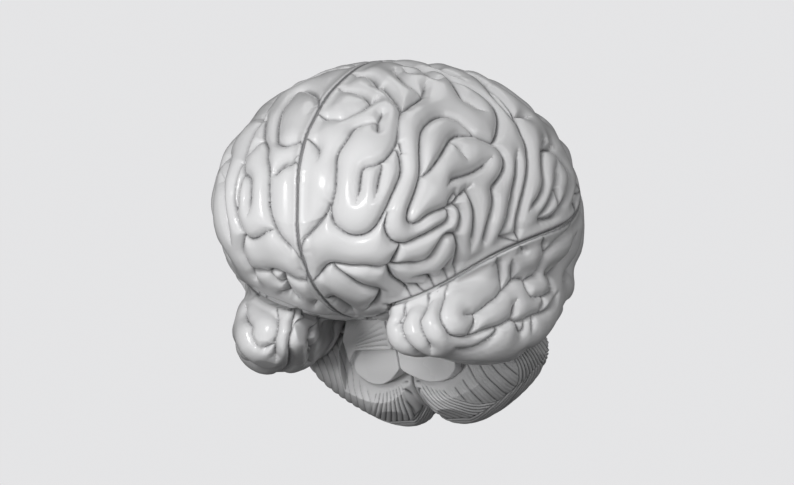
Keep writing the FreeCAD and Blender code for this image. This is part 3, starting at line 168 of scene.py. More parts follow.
        (659,62,-304,86,659,62,-304,86,659,73,-322,86,658,87,-337,86,657,104,-350,86,657,104,-350,86),
        (677,342,-64,86,676,334,-63,86,674,318,-63,86,672,303,-65,86,670,287,-67,59,668,272,-69,13),
        (659,62,-304,86,659,62,-304,86,665,80,-301,86,670,97,-295,86,674,115,-289,86,674,115,-289,86),
        (614,174,-414,13,613,191,-412,49,611,207,-410,86,610,223,-408,86,608,240,-406,86,607,256,-404,86,607,256,-404,86),
        (594,-68,-34,86,593,-64,-32,86,608,-68,-41,86,613,-56,-54,86,613,-42,-65,86,612,-29,-77,86,611,-16,-90,86,607,-4,-102,86,603,8,-115,86,600,19,-129,86,601,20,-146,86,606,16,-163,86,605,12,-166,86),
        (644,31,21,86,646,32,22,86,663,28,16,86,676,38,9,86,682,55,4,86,686,73,0,86,683,64,-1,86),
        (385,-290,-250,86,384,-284,-243,86,387,-273,-231,86,389,-262,-218,86,392,-252,-206,86,396,-241,-194,86,403,-232,-183,86,406,-225,-175,86),
        (297,-311,-270,86,294,-311,-270,86,296,-297,-257,86,300,-284,-243,86,310,-273,-231,86,326,-266,-223,86,331,-260,-216,86),
        (342,-249,-476,95,342,-249,-476,95,347,-232,-477,95,352,-214,-478,95,355,-196,-479,95,356,-178,-478,95,356,-160,-478,95,355,-141,-477,95,353,-123,-476,95,353,-105,-475,95,354,-87,-474,95,355,-69,-474,95,355,-69,-474,95),
        (355,-69,-474,95,355,-69,-474,95,339,-65,-468,95,323,-60,-461,95,308,-54,-452,95,294,-47,-442,95,282,-40,-431,95,271,-35,-417,95,260,-30,-403,95,252,-26,-388,95,245,-22,-371,95,239,-20,-354,95,235,-18,-336,95,233,-14,-319,95,231,-8,-302,95,228,0,-286,95,224,11,-272,95,223,22,-258,95,231,30,-244,95,231,30,-244,95),
        (355,-69,-474,95,355,-69,-474,95,366,-54,-475,95,377,-39,-477,95,389,-25,-478,95,401,-11,-479,95,411,4,-479,95,421,20,-479,95,431,35,-479,95,440,51,-478,95,450,67,-477,95,459,83,-475,95,467,100,-473,95,474,116,-471,95,482,133,-468,89,491,148,-465,64,499,165,-462,39,506,181,-458,14),
        (8,781,-128,95,19,781,-131,95,36,781,-130,95,54,781,-130,95,72,781,-129,95,89,779,-129,95,107,776,-128,95,124,772,-128,95,141,768,-128,95,158,762,-128,95,174,756,-129,95,190,748,-131,95,204,739,-136,95,215,728,-143,95,223,714,-151,95,229,700,-160,84,235,686,-168,61,242,673,-177,37,251,661,-187,14),
        (10,952,-89,95,19,944,-94,95,25,929,-101,95,41,921,-103,95,59,918,-103,95,77,916,-103,95,94,912,-104,95,112,908,-104,95,129,906,-103,95,147,903,-102,95,165,899,-102,95,182,893,-101,95,199,888,-100,95,216,882,-99,95,232,875,-97,95,248,866,-97,95,263,856,-97,95,277,845,-97,95,290,833,-99,95,304,822,-103,95,316,811,-109,95,327,799,-116,95,336,786,-125,86,342,772,-135,62,344,758,-146,38,344,744,-157,14),
        (242,44,-219,95,242,44,-219,95,239,61,-213,95,236,78,-208,95,233,95,-206,95,232,113,-204,95,231,131,-204,95,231,149,-204,95,231,167,-204,95,231,185,-204,95,231,203,-204,95,232,221,-204,86,235,239,-207,62,248,245,-216,38,264,244,-224,14),
        (340,331,-360,14,328,322,-350,38,318,311,-341,62,310,297,-334,86,304,280,-329,95,299,263,-326,95,295,246,-323,95,291,229,-321,95,288,211,-319,95,285,194,-319,95,282,176,-319,95,279,159,-321,95,276,141,-325,95,275,125,-333,95,275,111,-344,95,279,101,-358,95,285,95,-373,95,294,93,-389,95,305,93,-403,95,317,96,-415,95,329,106,-424,95,340,119,-428,95,349,135,-430,95,356,151,-430,95,361,168,-428,95,367,185,-427,95,373,202,-426,95,379,219,-424,95,387,235,-424,95,396,250,-424,95,408,263,-425,95,422,274,-426,95,437,284,-427,95,452,295,-426,95,463,308,-422,95,473,321,-416,95,482,333,-406,95,488,338,-390,95,489,340,-372,95,482,340,-356,86,469,340,-344,62,455,340,-333,38,444,340,-319,14),
        (356,664,-214,14,374,664,-214,39,393,665,-214,63,410,668,-211,87,427,672,-206,95,442,679,-198,95,456,687,-189,95,467,695,-178,95,476,705,-166,95,483,716,-153,95,487,727,-139,95,490,738,-125,95,489,750,-112,95,486,762,-99,95,481,774,-86,95,473,787,-75,95,464,799,-65,95,455,811,-55,95,445,823,-46,95,434,836,-40,95,424,850,-35,95,413,864,-31,95,402,878,-28,95,390,892,-25,95,377,904,-23,95,363,916,-20,95,349,927,-19,95,334,937,-19,95,318,946,-18,95,302,955,-17,95,286,963,-17,95,269,970,-16,95,252,976,-16,95,235,982,-16,95,218,987,-17,95,200,992,-17,95,182,996,-18,95,165,999,-18,95,147,1003,-17,95,129,1007,-15,95,112,1011,-12,95,94,1014,-8,95,77,1017,-3,95,60,1020,2,95,43,1022,7,95,27,1023,15,95,19,1025,31,95,7,1019,44,95),
        (469,394,-246,14,485,397,-253,48,501,401,-262,82,515,403,-273,95,527,400,-287,82,536,395,-302,48,543,394,-319,14),
        (550,431,-339,14,548,448,-333,38,547,463,-324,61,547,478,-316,85,549,494,-308,95,551,509,-299,95,553,523,-289,95,551,538,-280,95,546,552,-271,95,540,566,-262,95,538,580,-252,95,543,592,-240,95,552,602,-228,95,560,610,-216,95,569,618,-203,95,578,625,-190,95,589,629,-176,95,601,630,-163,95,614,627,-152,95,614,627,-152,95),
        (607,256,-404,95,607,256,-404,95,604,273,-401,95,602,290,-397,95,603,307,-390,95,606,322,-382,95,610,337,-373,95,615,350,-363,95,621,363,-352,95,628,374,-340,95,634,386,-328,95,640,397,-315,95,645,408,-303,95,649,420,-290,95,651,433,-279,95,652,446,-267,95,653,460,-256,95,654,473,-244,95,655,486,-232,95,656,498,-219,95,656,511,-207,95,656,524,-195,95,654,538,-184,95,652,552,-173,95,648,567,-164,95,642,582,-158,95,634,597,-155,95,624,612,-154,95,614,627,-152,95,614,627,-152,95),
        (614,627,-152,95,614,627,-152,95,612,639,-139,95,610,651,-124,95,608,662,-110,95,606,673,-95,95,602,684,-81,95,599,693,-65,95,597,701,-49,95,593,709,-33,95,588,718,-17,95,585,725,-1,95,584,733,16,95,584,744,31,95,584,744,31,95),
        (19,856,531,14,19,845,545,39,19,833,560,63,21,822,573,87,27,811,586,95,38,801,597,95,50,793,607,95,65,786,614,95,81,780,619,95,99,776,622,95,116,772,625,95,134,769,626,95,152,766,627,95,170,764,626,95,188,762,625,95,205,760,623,95,223,759,620,95,241,759,617,95,258,759,612,95,276,758,609,95,294,756,605,95,311,754,602,95,328,752,596,95,345,750,591,95,362,748,585,95,379,745,580,95,396,743,573,95,412,742,565,95,426,744,554,95,436,749,540,95,444,756,525,95,451,763,510,95,459,768,495,95,470,770,481,95,485,767,471,95,501,760,466,95,516,751,462,95,531,742,458,95,545,731,456,95,558,719,456,95,572,708,451,95,584,700,441,95,597,692,431,95,609,683,420,95,620,674,410,95,631,665,398,95,641,657,386,95,650,649,373,95,659,640,360,95,667,631,346,95,673,623,331,95,679,618,315,95,681,617,297,95,683,618,279,95,684,620,261,95,685,622,243,95,685,625,225,95,684,628,208,95,683,630,190,95,683,631,172,95,683,631,154,95,682,629,136,95,681,626,118,95,680,623,100,95,676,621,83,95,671,619,66,95,665,615,49,95,660,608,33,95,657,599,18,95,656,589,3,95,655,579,-12,95,655,579,-12,95),
        (69,1024,181,14,71,1025,164,38,81,1025,149,62,97,1025,142,86,114,1025,137,95,131,1024,131,95,148,1023,126,95,165,1022,122,95,183,1020,120,95,200,1017,119,95,217,1013,119,95,235,1008,118,95,252,1003,118,95,269,998,118,95,285,992,117,95,302,985,115,95,318,979,111,95,334,972,108,95,350,964,106,95,366,956,106,95,381,948,106,95,397,939,106,95,412,930,104,95,426,920,100,95,440,910,96,95,454,899,92,95,467,888,88,95,480,877,83,95,493,865,78,95,505,853,73,95,516,841,67,95,526,828,60,95,535,815,53,95,545,801,46,95,555,788,41,95,565,773,37,95,574,759,33,95,584,744,31,95,584,744,31,95),
        (219,918,406,14,234,919,397,38,250,920,388,63,267,918,382,87,284,915,378,95,301,912,374,95,318,908,371,95,335,902,369,95,352,896,369,95,368,888,369,95,385,881,369,95,401,873,369,95,417,865,367,95,433,858,365,95,449,850,362,95,465,842,359,95,480,833,355,95,495,825,350,95,510,816,345,95,524,806,341,95,539,797,336,95,553,786,330,95,566,776,325,95,578,765,317,95,590,756,307,95,601,748,295,95,609,742,281,95,613,740,263,95,615,741,245,95,616,742,228,95,616,743,210,95,616,745,192,95,614,747,174,95,612,749,156,95,612,749,156,95),
        (369,822,484,14,352,826,488,39,334,830,493,63,317,833,497,87,300,835,502,95,283,836,509,95,266,836,515,95,249,837,520,95,231,838,524,95,213,840,526,95,195,844,526,95,178,848,524,95,161,853,521,95,145,860,515,95,130,867,507,95,117,875,498,95,107,884,486,95,99,894,473,95,91,903,460,95,83,912,446,95,78,921,431,95,73,931,416,95,74,939,401,95,83,946,387,95,95,952,374,95,105,958,360,95,113,964,345,95,121,970,330,95,130,976,315,95,139,981,301,95,150,985,287,95,164,987,275,95,178,989,265,95,195,988,257,95,212,986,252,95,230,983,250,95,247,979,248,95,265,975,246,95,282,970,245,95,300,965,244,95,317,958,244,95,334,952,243,95,350,945,243,95,367,937,244,95,383,929,243,95,399,921,242,95,415,913,238,95,430,904,235,95,446,895,233,95,461,885,230,95,476,876,226,95,490,866,220,95,504,856,215,95,518,845,209,95,530,835,202,95,543,824,195,95,556,812,189,95,568,800,183,95,580,788,178,95,591,775,171,95,602,762,164,95,612,749,156,95,612,749,156,95),
        (584,744,31,95,584,744,31,95,593,744,47,95,602,743,64,95,609,742,82,95,613,741,100,95,615,743,119,95,614,745,138,95,612,749,156,95,612,749,156,95),
        (211,-269,-414,14,208,-269,-397,38,205,-269,-379,62,204,-268,-362,85,204,-267,-344,95,204,-264,-327,95,204,-256,-311,95,204,-243,-300,95,204,-226,-295,95,204,-208,-296,95,204,-191,-299,95,204,-175,-306,95,204,-161,-316,95,204,-150,-331,95,205,-145,-347,95,207,-144,-365,95,211,-145,-382,95,217,-148,-398,95,224,-158,-411,95,228,-172,-420,95,229,-188,-427,95,230,-206,-431,95,228,-223,-432,85,224,-240,-430,62,218,-255,-423,38,211,-269,-414,14),
    ),
    "right_frontoparietal_lobe": (
        (-244,-630,446,100,-244,-630,446,100,-234,-642,437,100,-224,-653,427,100,-215,-664,417,100,-206,-676,406,100,-199,-687,394,100,-193,-697,381,100,-189,-707,366,100,-186,-715,351,100,-181,-723,336,100,-175,-731,321,100,-168,-738,306,100,-163,-745,290,100,-159,-751,274,100,-155,-756,257,100,-154,-760,240,100,-152,-764,222,100,-150,-766,205,100,-149,-768,187,100,-146,-769,169,100,-144,-769,151,100,-143,-770,134,100,-140,-770,116,100,-136,-770,98,100,-132,-769,81,100,-128,-768,64,100,-123,-767,46,100,-117,-764,30,100,-111,-761,13,100,-103,-758,-2,100,-94,-755,-18,100,-85,-751,-32,100,-75,-746,-47,100,-66,-739,-60,100,-56,-731,-73,100,-44,-724,-83,100,-30,-717,-92,100,-16,-709,-101,100,-7,-699,-112,100,-3,-687,-125,100,-2,-674,-137,100,-2,-661,-150,100,-2,-648,-162,100,-9,-643,-168,100),
        (-317,-673,336,100,-329,-668,335,100,-333,-674,319,100,-335,-680,302,100,-336,-686,286,100,-337,-692,269,100,-340,-696,251,100,-342,-700,234,100,-342,-704,217,100,-342,-707,199,100,-342,-709,181,100,-340,-712,164,100,-336,-715,147,100,-331,-718,130,100,-325,-721,113,100,-319,-724,97,100,-312,-726,80,100,-306,-726,63,100,-301,-725,46,100,-294,-723,30,100,-285,-721,14,100,-277,-718,-1,100,-265,-717,-14,100,-250,-718,-24,100,-233,-724,-26,100,-217,-731,-23,100,-202,-739,-17,100,-187,-745,-10,97,-172,-751,-2,91,-156,-755,6,86,-139,-758,10,80,-122,-760,12,74,-114,-763,20,74),
        (-65,-450,642,81,-60,-456,639,81,-71,-443,646,87,-82,-430,652,92,-94,-418,658,98,-106,-405,664,100,-118,-393,669,100,-131,-382,674,100,-145,-371,677,100,-160,-360,680,100,-176,-352,681,100,-193,-347,679,100,-209,-351,673,100,-218,-363,663,100,-222,-378,654,100,-224,-394,645,100,-224,-409,635,100,-224,-425,626,100,-223,-440,617,100,-221,-455,607,100,-219,-470,597,100,-217,-485,587,100,-214,-500,577,100,-211,-515,567,100,-208,-529,556,100,-205,-543,545,100,-202,-557,534,100,-198,-570,523,100,-194,-584,511,100,-190,-597,500,100,-185,-610,488,100,-180,-623,476,100,-175,-636,464,100,-170,-648,452,100,-164,-660,440,100,-156,-671,428,100,-145,-682,418,100,-132,-690,410,100,-116,-697,403,99,-99,-701,400,99,-81,-702,402,98,-85,-703,399,98),
        (-296,-712,277,100,-296,-712,277,100,-302,-703,292,100,-307,-694,307,100,-313,-684,321,100,-317,-673,336,100,-321,-663,350,100,-324,-652,364,100,-326,-640,379,100,-328,-629,393,100,-328,-617,407,100,-329,-605,421,100,-329,-593,435,100,-329,-581,448,100,-329,-568,461,100,-328,-556,475,100,-326,-543,488,100,-324,-531,501,100,-322,-518,514,100,-321,-504,527,100,-320,-491,539,100,-320,-491,539,100),
        (-449,-584,290,15,-441,-596,279,40,-434,-608,268,66,-427,-620,257,91,-420,-631,244,100,-415,-641,230,100,-410,-649,215,100,-407,-656,199,100,-404,-661,182,100,-400,-666,165,100,-397,-670,148,100,-393,-674,130,100,-390,-676,113,100,-386,-678,96,100,-382,-679,78,100,-378,-678,61,100,-376,-675,43,100,-374,-670,26,86,-371,-665,9,58,-365,-660,-7,34,-358,-656,-23,12),
        (-296,-712,277,100,-296,-712,277,100,-282,-719,271,100,-269,-727,262,100,-258,-734,250,100,-250,-741,235,100,-247,-745,219,100,-245,-748,201,100,-244,-751,184,100,-242,-753,167,100,-242,-753,149,100,-241,-754,131,90,-239,-754,114,61,-239,-754,96,36,-241,-753,78,12),
        (-430,-567,358,100,-430,-567,358,100,-427,-579,344,100,-424,-590,331,100,-421,-600,317,100,-419,-610,303,99,-418,-619,288,99,-417,-628,272,98,-431,-613,264,98),
        (-301,-584,-138,100,-301,-584,-138,100,-304,-597,-127,100,-307,-610,-115,100,-310,-623,-103,100,-313,-634,-90,100,-317,-645,-77,100,-317,-656,-63,100,-313,-668,-51,100,-308,-680,-39,100,-301,-691,-27,100,-294,-702,-15,100,-286,-713,-4,100,-275,-718,-3,100),
        (-8,-655,-155,100,-2,-648,-162,100,-10,-638,-174,100,-18,-625,-185,100,-27,-612,-194,100,-39,-601,-202,100,-56,-596,-203,100,-74,-600,-200,100,-89,-607,-193,100,-101,-618,-184,100,-115,-626,-177,100,-132,-629,-171,100,-132,-629,-171,100),
        (-144,-571,-203,96,-169,-570,-200,96,-180,-580,-190,97,-188,-592,-180,99,-195,-605,-170,100,-205,-617,-160,100,-220,-619,-153,100,-237,-615,-149,100,-254,-609,-146,100,-270,-601,-143,100,-286,-593,-140,100,-301,-584,-138,100,-301,-584,-138,100),
        (-296,-712,277,100,-296,-712,277,100,-300,-715,260,100,-304,-717,243,100,-307,-720,226,100,-310,-722,209,100,-314,-723,192,100,-315,-724,175,100,-314,-726,158,100,-312,-729,140,100,-311,-730,123,100,-327,-720,119,100),
        (-287,-680,353,12,-285,-672,368,39,-282,-663,382,70,-279,-654,396,98,-274,-645,410,100,-268,-638,424,100,-257,-633,436,100,-244,-630,446,100,-244,-630,446,100),
        (-11,-353,-288,100,-14,-360,-287,100,-16,-378,-283,100,-18,-395,-279,100,-21,-413,-274,100,-27,-429,-269,100,-40,-440,-265,100,-57,-435,-265,87,-69,-422,-268,63,-79,-407,-272,39,-88,-392,-275,15),
        (-114,-758,269,90,-118,-759,265,90,-112,-754,281,93,-100,-751,295,94,-87,-748,307,92,-70,-746,314,86,-52,-746,315,81,-10,-739,329,75),
        (-320,-491,539,81,-301,-485,554,81,-296,-499,545,87,-290,-513,536,92,-285,-526,527,98,-280,-540,518,100,-275,-553,508,100,-270,-566,498,100,-265,-579,488,100,-260,-592,478,100,-255,-605,467,100,-249,-618,457,100,-244,-630,446,100,-244,-630,446,100),
        (-154,-498,-231,100,-154,-498,-231,100,-152,-515,-225,100,-149,-532,-219,100,-147,-549,-212,100,-145,-566,-205,100,-143,-583,-198,100,-140,-599,-189,100,-136,-614,-180,100,-132,-629,-171,100,-132,-629,-171,100),
        (-203,-616,-161,100,-184,-634,-152,100,-165,-638,-154,100,-146,-637,-160,100,-132,-629,-171,100,-132,-629,-171,100),
        (-9,-704,-104,100,-4,-713,-98,100,-2,-725,-83,100,-2,-736,-67,100,-3,-747,-51,100,-7,-744,-44,100),
        (-304,-515,-169,15,-303,-532,-162,68,-302,-549,-154,100,-301,-567,-146,100,-301,-584,-138,100,-301,-584,-138,100),
        (-7,-569,544,100,-2,-567,549,100,-10,-555,561,97,-17,-543,573,92,-23,-530,584,87,-30,-517,595,81,-37,-504,606,76,-38,-495,611,76),
        (-154,-498,-231,100,-154,-498,-231,100,-148,-483,-238,100,-144,-466,-244,86,-142,-449,-251,15),
        (-154,-498,-231,100,-174,-495,-228,100,-190,-482,-228,100,-207,-469,-227,86,-223,-456,-227,15),
        (-60,-456,639,100,-65,-450,642,100,-57,-463,633,100,-49,-476,624,100,-42,-489,615,100,-34,-502,606,100,-27,-515,596,100,-20,-527,586,100,-14,-539,576,100,-7,-551,564,100,-2,-562,552,100,-7,-569,544,100),
        (-81,-702,402,100,-85,-703,399,100,-71,-699,406,100,-54,-698,409,100,-39,-702,404,100,-25,-708,395,100,-13,-713,385,100,-2,-716,373,100,-8,-719,368,100),
        (-118,-759,265,100,-114,-758,269,100,-102,-754,284,100,-88,-752,295,100,-71,-750,304,100,-53,-749,308,100,-34,-751,305,100,-17,-753,297,100,-2,-752,286,100,-2,-744,281,100),
        (-605,-84,453,100,-605,-84,453,100,-599,-101,455,100,-591,-117,458,100,-583,-133,463,100,-575,-149,466,100,-567,-166,470,100,-559,-179,478,100,-549,-187,491,100,-538,-195,504,100,-527,-202,516,100,-516,-208,529,100,-504,-216,541,100,-492,-228,548,100,-481,-242,553,100,-470,-255,558,100,-459,-270,560,100,-452,-286,558,100,-447,-303,553,100,-444,-320,547,100,-442,-337,540,100,-440,-353,532,100,-438,-369,523,100,-437,-385,515,100,-436,-401,505,100,-436,-416,496,100,-437,-431,485,100,-438,-445,473,100,-440,-458,461,100,-440,-458,461,100),
        (-449,-516,391,100,-461,-511,378,100,-465,-517,363,100,-468,-522,348,86,-472,-527,333,15),
        (-506,-519,73,100,-496,-532,57,100,-504,-522,70,100,-512,-509,80,100,-520,-495,89,100,-528,-481,97,100,-535,-465,104,100,-541,-450,111,100,-548,-434,118,100,-554,-419,125,100,-554,-419,125,100),
        (-461,143,726,100,-465,161,727,100,-480,160,717,100,-494,158,705,100,-507,156,694,100,-521,154,682,100,-533,151,670,100,-546,149,657,100,-558,147,644,100,-569,144,630,100,-580,142,616,100,-590,137,602,100,-599,132,588,100,-608,125,573,100,-616,119,558,100,-624,115,543,100,-632,113,527,100,-640,112,511,100,-648,115,495,100,-656,117,479,100,-663,116,462,100,-669,114,446,100,-674,109,429,100,-679,105,412,100,-683,101,395,100,-686,97,378,100,-689,91,361,100,-691,84,345,100,-693,78,328,100,-694,71,312,100,-694,64,295,100,-694,57,278,100,-695,50,262,100,-695,45,244,100,-694,39,228,100,-693,33,211,100,-691,28,193,100,-689,24,176,100,-687,19,159,100,-685,15,142,100,-682,13,124,100,-679,14,106,100,-677,18,89,100,-656,31,31,100),
        (-712,519,309,12,-715,506,298,33,-719,494,287,56,-722,483,275,83,-725,473,261,100,-728,464,247,100,-730,455,233,100,-732,446,219,100,-733,436,205,100,-729,431,196,100),
        (-553,-336,17,100,-553,-336,17,100,-547,-353,15,100,-541,-370,13,100,-534,-385,8,100,-525,-396,-3,100,-516,-400,-17,100,-506,-403,-32,100,-496,-404,-47,100,-486,-402,-61,100,-476,-401,-76,100,-464,-402,-89,90,-452,-404,-102,65,-439,-411,-112,40,-427,-421,-120,15),
        (-554,-419,125,100,-554,-419,125,100,-557,-406,113,100,-557,-400,97,100,-553,-400,80,100,-548,-406,65,100,-541,-416,53,100,-534,-428,43,100,-526,-441,34,100,-518,-454,25,100,-509,-465,15,100,-500,-477,6,100,-490,-488,-4,100,-481,-500,-13,100,-471,-511,-21,100,-460,-522,-30,100,-460,-522,-30,100),
        (-605,-84,453,100,-605,-84,453,100,-614,-78,438,100,-622,-69,425,100,-630,-60,411,100,-638,-53,396,100,-643,-52,378,100,-647,-55,361,100,-649,-62,344,100,-649,-71,328,100,-648,-82,314,100,-646,-94,300,100,-644,-107,287,100,-642,-120,275,100,-640,-134,263,100,-637,-147,250,100,-636,-157,235,100,-638,-156,218,100,-640,-150,200,100,-640,-151,182,100,-638,-154,164,100,-636,-158,146,100,-634,-161,128,100,-631,-163,110,100,-627,-166,93,100,-623,-166,75,100,-619,-164,57,100,-614,-162,40,100,-614,-162,40,100),
        (-605,-84,453,100,-605,-84,453,100,-605,-70,464,100,-604,-56,476,100,-603,-43,489,100,-601,-31,502,100,-598,-20,516,100,-594,-9,530,100,-589,2,544,100,-583,12,558,100,-577,21,572,100,-569,28,587,100,-560,35,601,100,-550,40,616,100,-539,43,630,100,-527,44,643,100,-514,44,656,100,-500,42,668,100,-486,38,679,100,-472,32,689,100,-458,25,698,100,-444,17,706,100,-430,8,713,100,-417,-3,719,100,-402,-12,726,100,-387,-17,734,100,-371,-21,742,100,-355,-24,750,100,-355,-24,750,100),
        (-718,153,146,100,-718,153,146,100,-721,171,147,100,-724,189,149,100,-727,207,152,100,-730,224,156,100,-733,241,162,100,-735,257,170,100,-737,272,180,100,-738,286,192,100,-739,299,205,100,-739,312,217,100,-739,326,229,100,-738,340,240,100,-737,354,252,100,-735,368,264,100,-733,381,276,100,-731,394,289,100,-728,406,303,100,-725,417,316,100,-721,427,331,100,-717,435,347,100,-713,439,364,100,-709,436,382,100,-706,428,398,100,-703,416,411,100,-701,402,422,100,-699,386,431,100,-697,370,440,100,-695,355,449,100,-692,341,460,100,-687,329,473,100,-687,329,473,100),
        (-701,69,165,12,-705,82,178,36,-709,94,190,62,-712,108,201,92,-715,122,213,100,-717,134,226,100,-719,145,240,100,-720,155,255,100,-720,165,270,100,-719,174,286,100,-718,180,302,100,-715,183,320,100,-713,183,338,100,-710,185,355,100,-706,187,373,100,-703,192,390,100,-699,197,407,100,-695,203,423,100,-691,212,439,100,-688,224,451,100,-686,240,460,100,-686,257,465,100,-686,275,468,100,-686,293,470,100,-687,311,472,100,-687,329,473,100,-687,329,473,100),
        (-556,-181,481,79,-556,-195,472,79,-549,-211,473,84,-543,-228,472,90,-536,-245,472,96,-530,-261,471,100,-525,-278,467,100,-522,-294,460,100,-521,-310,451,100,-520,-325,441,100,-520,-339,431,100,-520,-353,419,100,-520,-366,407,100,-520,-379,394,100,-520,-392,382,100,-520,-405,370,100,-519,-418,358,100,-519,-431,346,100,-518,-445,334,100,-516,-457,321,100,-514,-470,308,100,-512,-483,296,100,-509,-496,285,100,-505,-510,274,100,-500,-523,263,100,-500,-523,263,100),
        (-424,173,756,100,-424,173,756,100,-436,163,747,100,-448,154,737,100,-460,144,727,100,-471,134,716,100,-483,125,706,100,-495,116,694,100,-507,111,682,100,-520,107,670,100,-533,105,657,100,-546,105,644,100,-558,105,630,100,-570,106,616,100,-582,107,602,100,-593,109,588,100,-604,111,573,100,-606,126,575,100),
        (-718,153,146,100,-718,153,146,100,-721,161,162,100,-724,172,175,100,-726,184,189,100,-728,195,202,100,-730,206,216,100,-731,217,230,100,-732,228,244,100,-733,238,258,100,-733,249,273,100,-732,258,287,100,-730,267,302,100,-728,275,318,100,-726,282,334,100,-723,290,350,100,-720,296,367,90,-716,301,383,62,-712,304,400,36,-707,303,417,13),
        (-563,-210,-35,15,-570,-217,-20,40,-577,-223,-5,66,-583,-227,11,91,-589,-231,28,100,-594,-234,45,100,-598,-238,62,100,-602,-243,78,100,-604,-247,95,100,-605,-252,113,100,-606,-257,130,100,-605,-264,146,100,-603,-272,162,100,-601,-281,177,100,-598,-290,192,100,-594,-301,206,100,-589,-312,217,100),
        (-616,-134,379,15,-614,-148,368,40,-613,-161,357,65,-611,-175,346,90,-609,-190,336,100,-606,-205,327,100,-603,-220,319,100,-600,-236,311,100,-597,-251,304,100,-593,-267,297,100,-588,-283,291,100,-584,-299,285,100,-580,-315,279,100,-575,-332,274,100,-571,-348,269,100,-566,-364,264,100,-562,-380,258,100,-558,-395,249,90,-555,-408,238,61,-552,-421,226,36,-548,-435,215,12),
        (-539,-42,592,14,-528,-54,599,38,-516,-63,608,63,-504,-71,618,90,-491,-78,628,100,-479,-88,635,100,-467,-99,642,100,-454,-100,654,100,-443,-94,666,100,-432,-87,678,100,-421,-79,689,100,-410,-71,700,100,-399,-63,711,100,-387,-54,721,100,-376,-45,731,100,-365,-35,740,100,-355,-24,750,100,-355,-24,750,100),
        (-406,-244,-181,100,-405,-251,-182,100,-409,-268,-175,100,-412,-285,-169,100,-414,-302,-164,100,-414,-320,-161,100,-407,-337,-162,100,-397,-352,-166,88,-389,-369,-168,64,-381,-385,-168,39,-372,-401,-170,15),
        (-568,-380,149,100,-568,-380,149,100,-574,-363,144,100,-579,-347,136,100,-581,-336,121,100,-580,-330,104,100,-578,-327,85,100,-574,-326,67,100,-568,-327,49,100,-561,-330,32,100,-553,-336,17,100,-553,-336,17,100),
        (-262,47,806,83,-262,47,806,83,-279,46,800,89,-295,44,794,94,-311,41,787,100,-326,38,779,100,-342,34,772,100,-357,31,764,89,-372,29,755,65,-387,29,747,40,-403,29,738,15),
        (-568,-380,149,100,-568,-380,149,100,-573,-369,162,100,-576,-358,176,100,-580,-347,189,100,-583,-334,200,100,-587,-320,211,95,-591,-306,221,64,-594,-294,233,37,-596,-283,247,12),
        (-475,-201,-138,100,-510,-239,-95,100,-517,-250,-83,100,-524,-260,-71,100,-531,-270,-58,100,-537,-279,-44,100,-543,-288,-31,100,-548,-298,-18,100,-551,-310,-5,100,-552,-323,6,100,-553,-336,17,100,-553,-336,17,100),
        (-238,-36,794,96,-238,-36,794,96,-254,-29,790,97,-271,-23,786,99,-288,-19,781,100,-306,-17,774,100,-322,-18,766,100,-339,-21,758,100,-355,-24,750,100,-355,-24,750,100),
        (-354,-72,735,11,-348,-89,732,32,-340,-105,730,56,-329,-118,731,83,-314,-117,739,97,-301,-108,747,100,-290,-97,756,100,-279,-86,764,100,-269,-73,771,100,-258,-61,779,100,-248,-48,787,100,-238,-36,794,100,-238,-36,794,100),
        (-573,-287,350,12,-568,-283,367,44,-561,-283,384,80,-553,-290,399,99,-544,-301,411,95,-535,-313,421,89,-525,-324,433,84,-520,-326,441,84),
        (-338,-425,570,98,-344,-427,566,98,-346,-411,575,93,-347,-396,584,88,-347,-380,593,82,-348,-365,602,76,-347,-349,611,73,-347,-334,620,72,-346,-318,629,72,-349,-323,625,72),
        (-273,-161,741,12,-257,-156,749,45,-241,-149,756,81,-227,-140,764,95,-212,-132,771,77,-197,-123,779,42,-182,-116,786,12),
        (-366,-259,-202,100,-368,-270,-202,100,-363,-288,-201,100,-358,-306,-200,100,-352,-324,-200,100,-345,-341,-201,100,-336,-357,-204,100,-323,-355,-210,100),
        (-238,-36,794,100,-238,-36,794,100,-221,-37,798,100,-205,-38,802,100,-188,-38,806,100,-188,-38,806,100),
        (-526,-264,-67,80,-520,-272,-72,80,-507,-279,-85,84,-494,-279,-100,89,-480,-275,-115,94,-474,-276,-122,94),
        (-451,-300,-137,12,-464,-292,-127,51,-469,-274,-126,94,-466,-256,-133,100,-460,-240,-142,100,-453,-219,-152,100),
        (-739,305,211,100,-739,293,230,100,-737,287,250,100,-735,282,269,100,-733,277,288,100,-731,264,296,100),
        (-577,-355,179,83,-569,-379,196,83,-566,-390,182,89,-563,-399,167,94,-560,-407,150,100,-562,-397,143,100),
        (-605,269,612,12,-604,251,610,44,-603,233,608,79,-602,216,606,96,-600,198,604,93,-599,180,602,88,-598,162,600,82,-593,136,597,82),
        (-656,378,532,15,-662,369,520,57,-669,359,508,100,-675,349,496,100,-681,339,485,100,-687,329,473,100,-687,329,473,100),
        (-614,-162,40,100,-614,-162,40,100,-609,-158,25,100,-603,-154,10,86,-597,-149,-5,15),
        (-568,-380,149,100,-568,-380,149,100,-563,-394,143,100,-558,-407,136,100,-554,-419,125,100,-554,-419,125,100),
        (-639,-70,42,100,-640,-60,37,100,-644,-43,37,100,-649,-26,37,100,-653,-8,37,100,-663,36,37,100),
        (-686,241,461,97,-682,244,477,97,-676,258,490,92,-671,273,504,74,-666,287,517,12),
        (-338,-425,570,100,-338,-425,570,100,-341,-410,579,100,-343,-394,588,100,-345,-378,596,100,-346,-363,605,100,-347,-347,613,100,-348,-331,621,100,-349,-315,629,100,-349,-299,637,100,-349,-283,645,100,-350,-267,653,100,-350,-267,653,100),
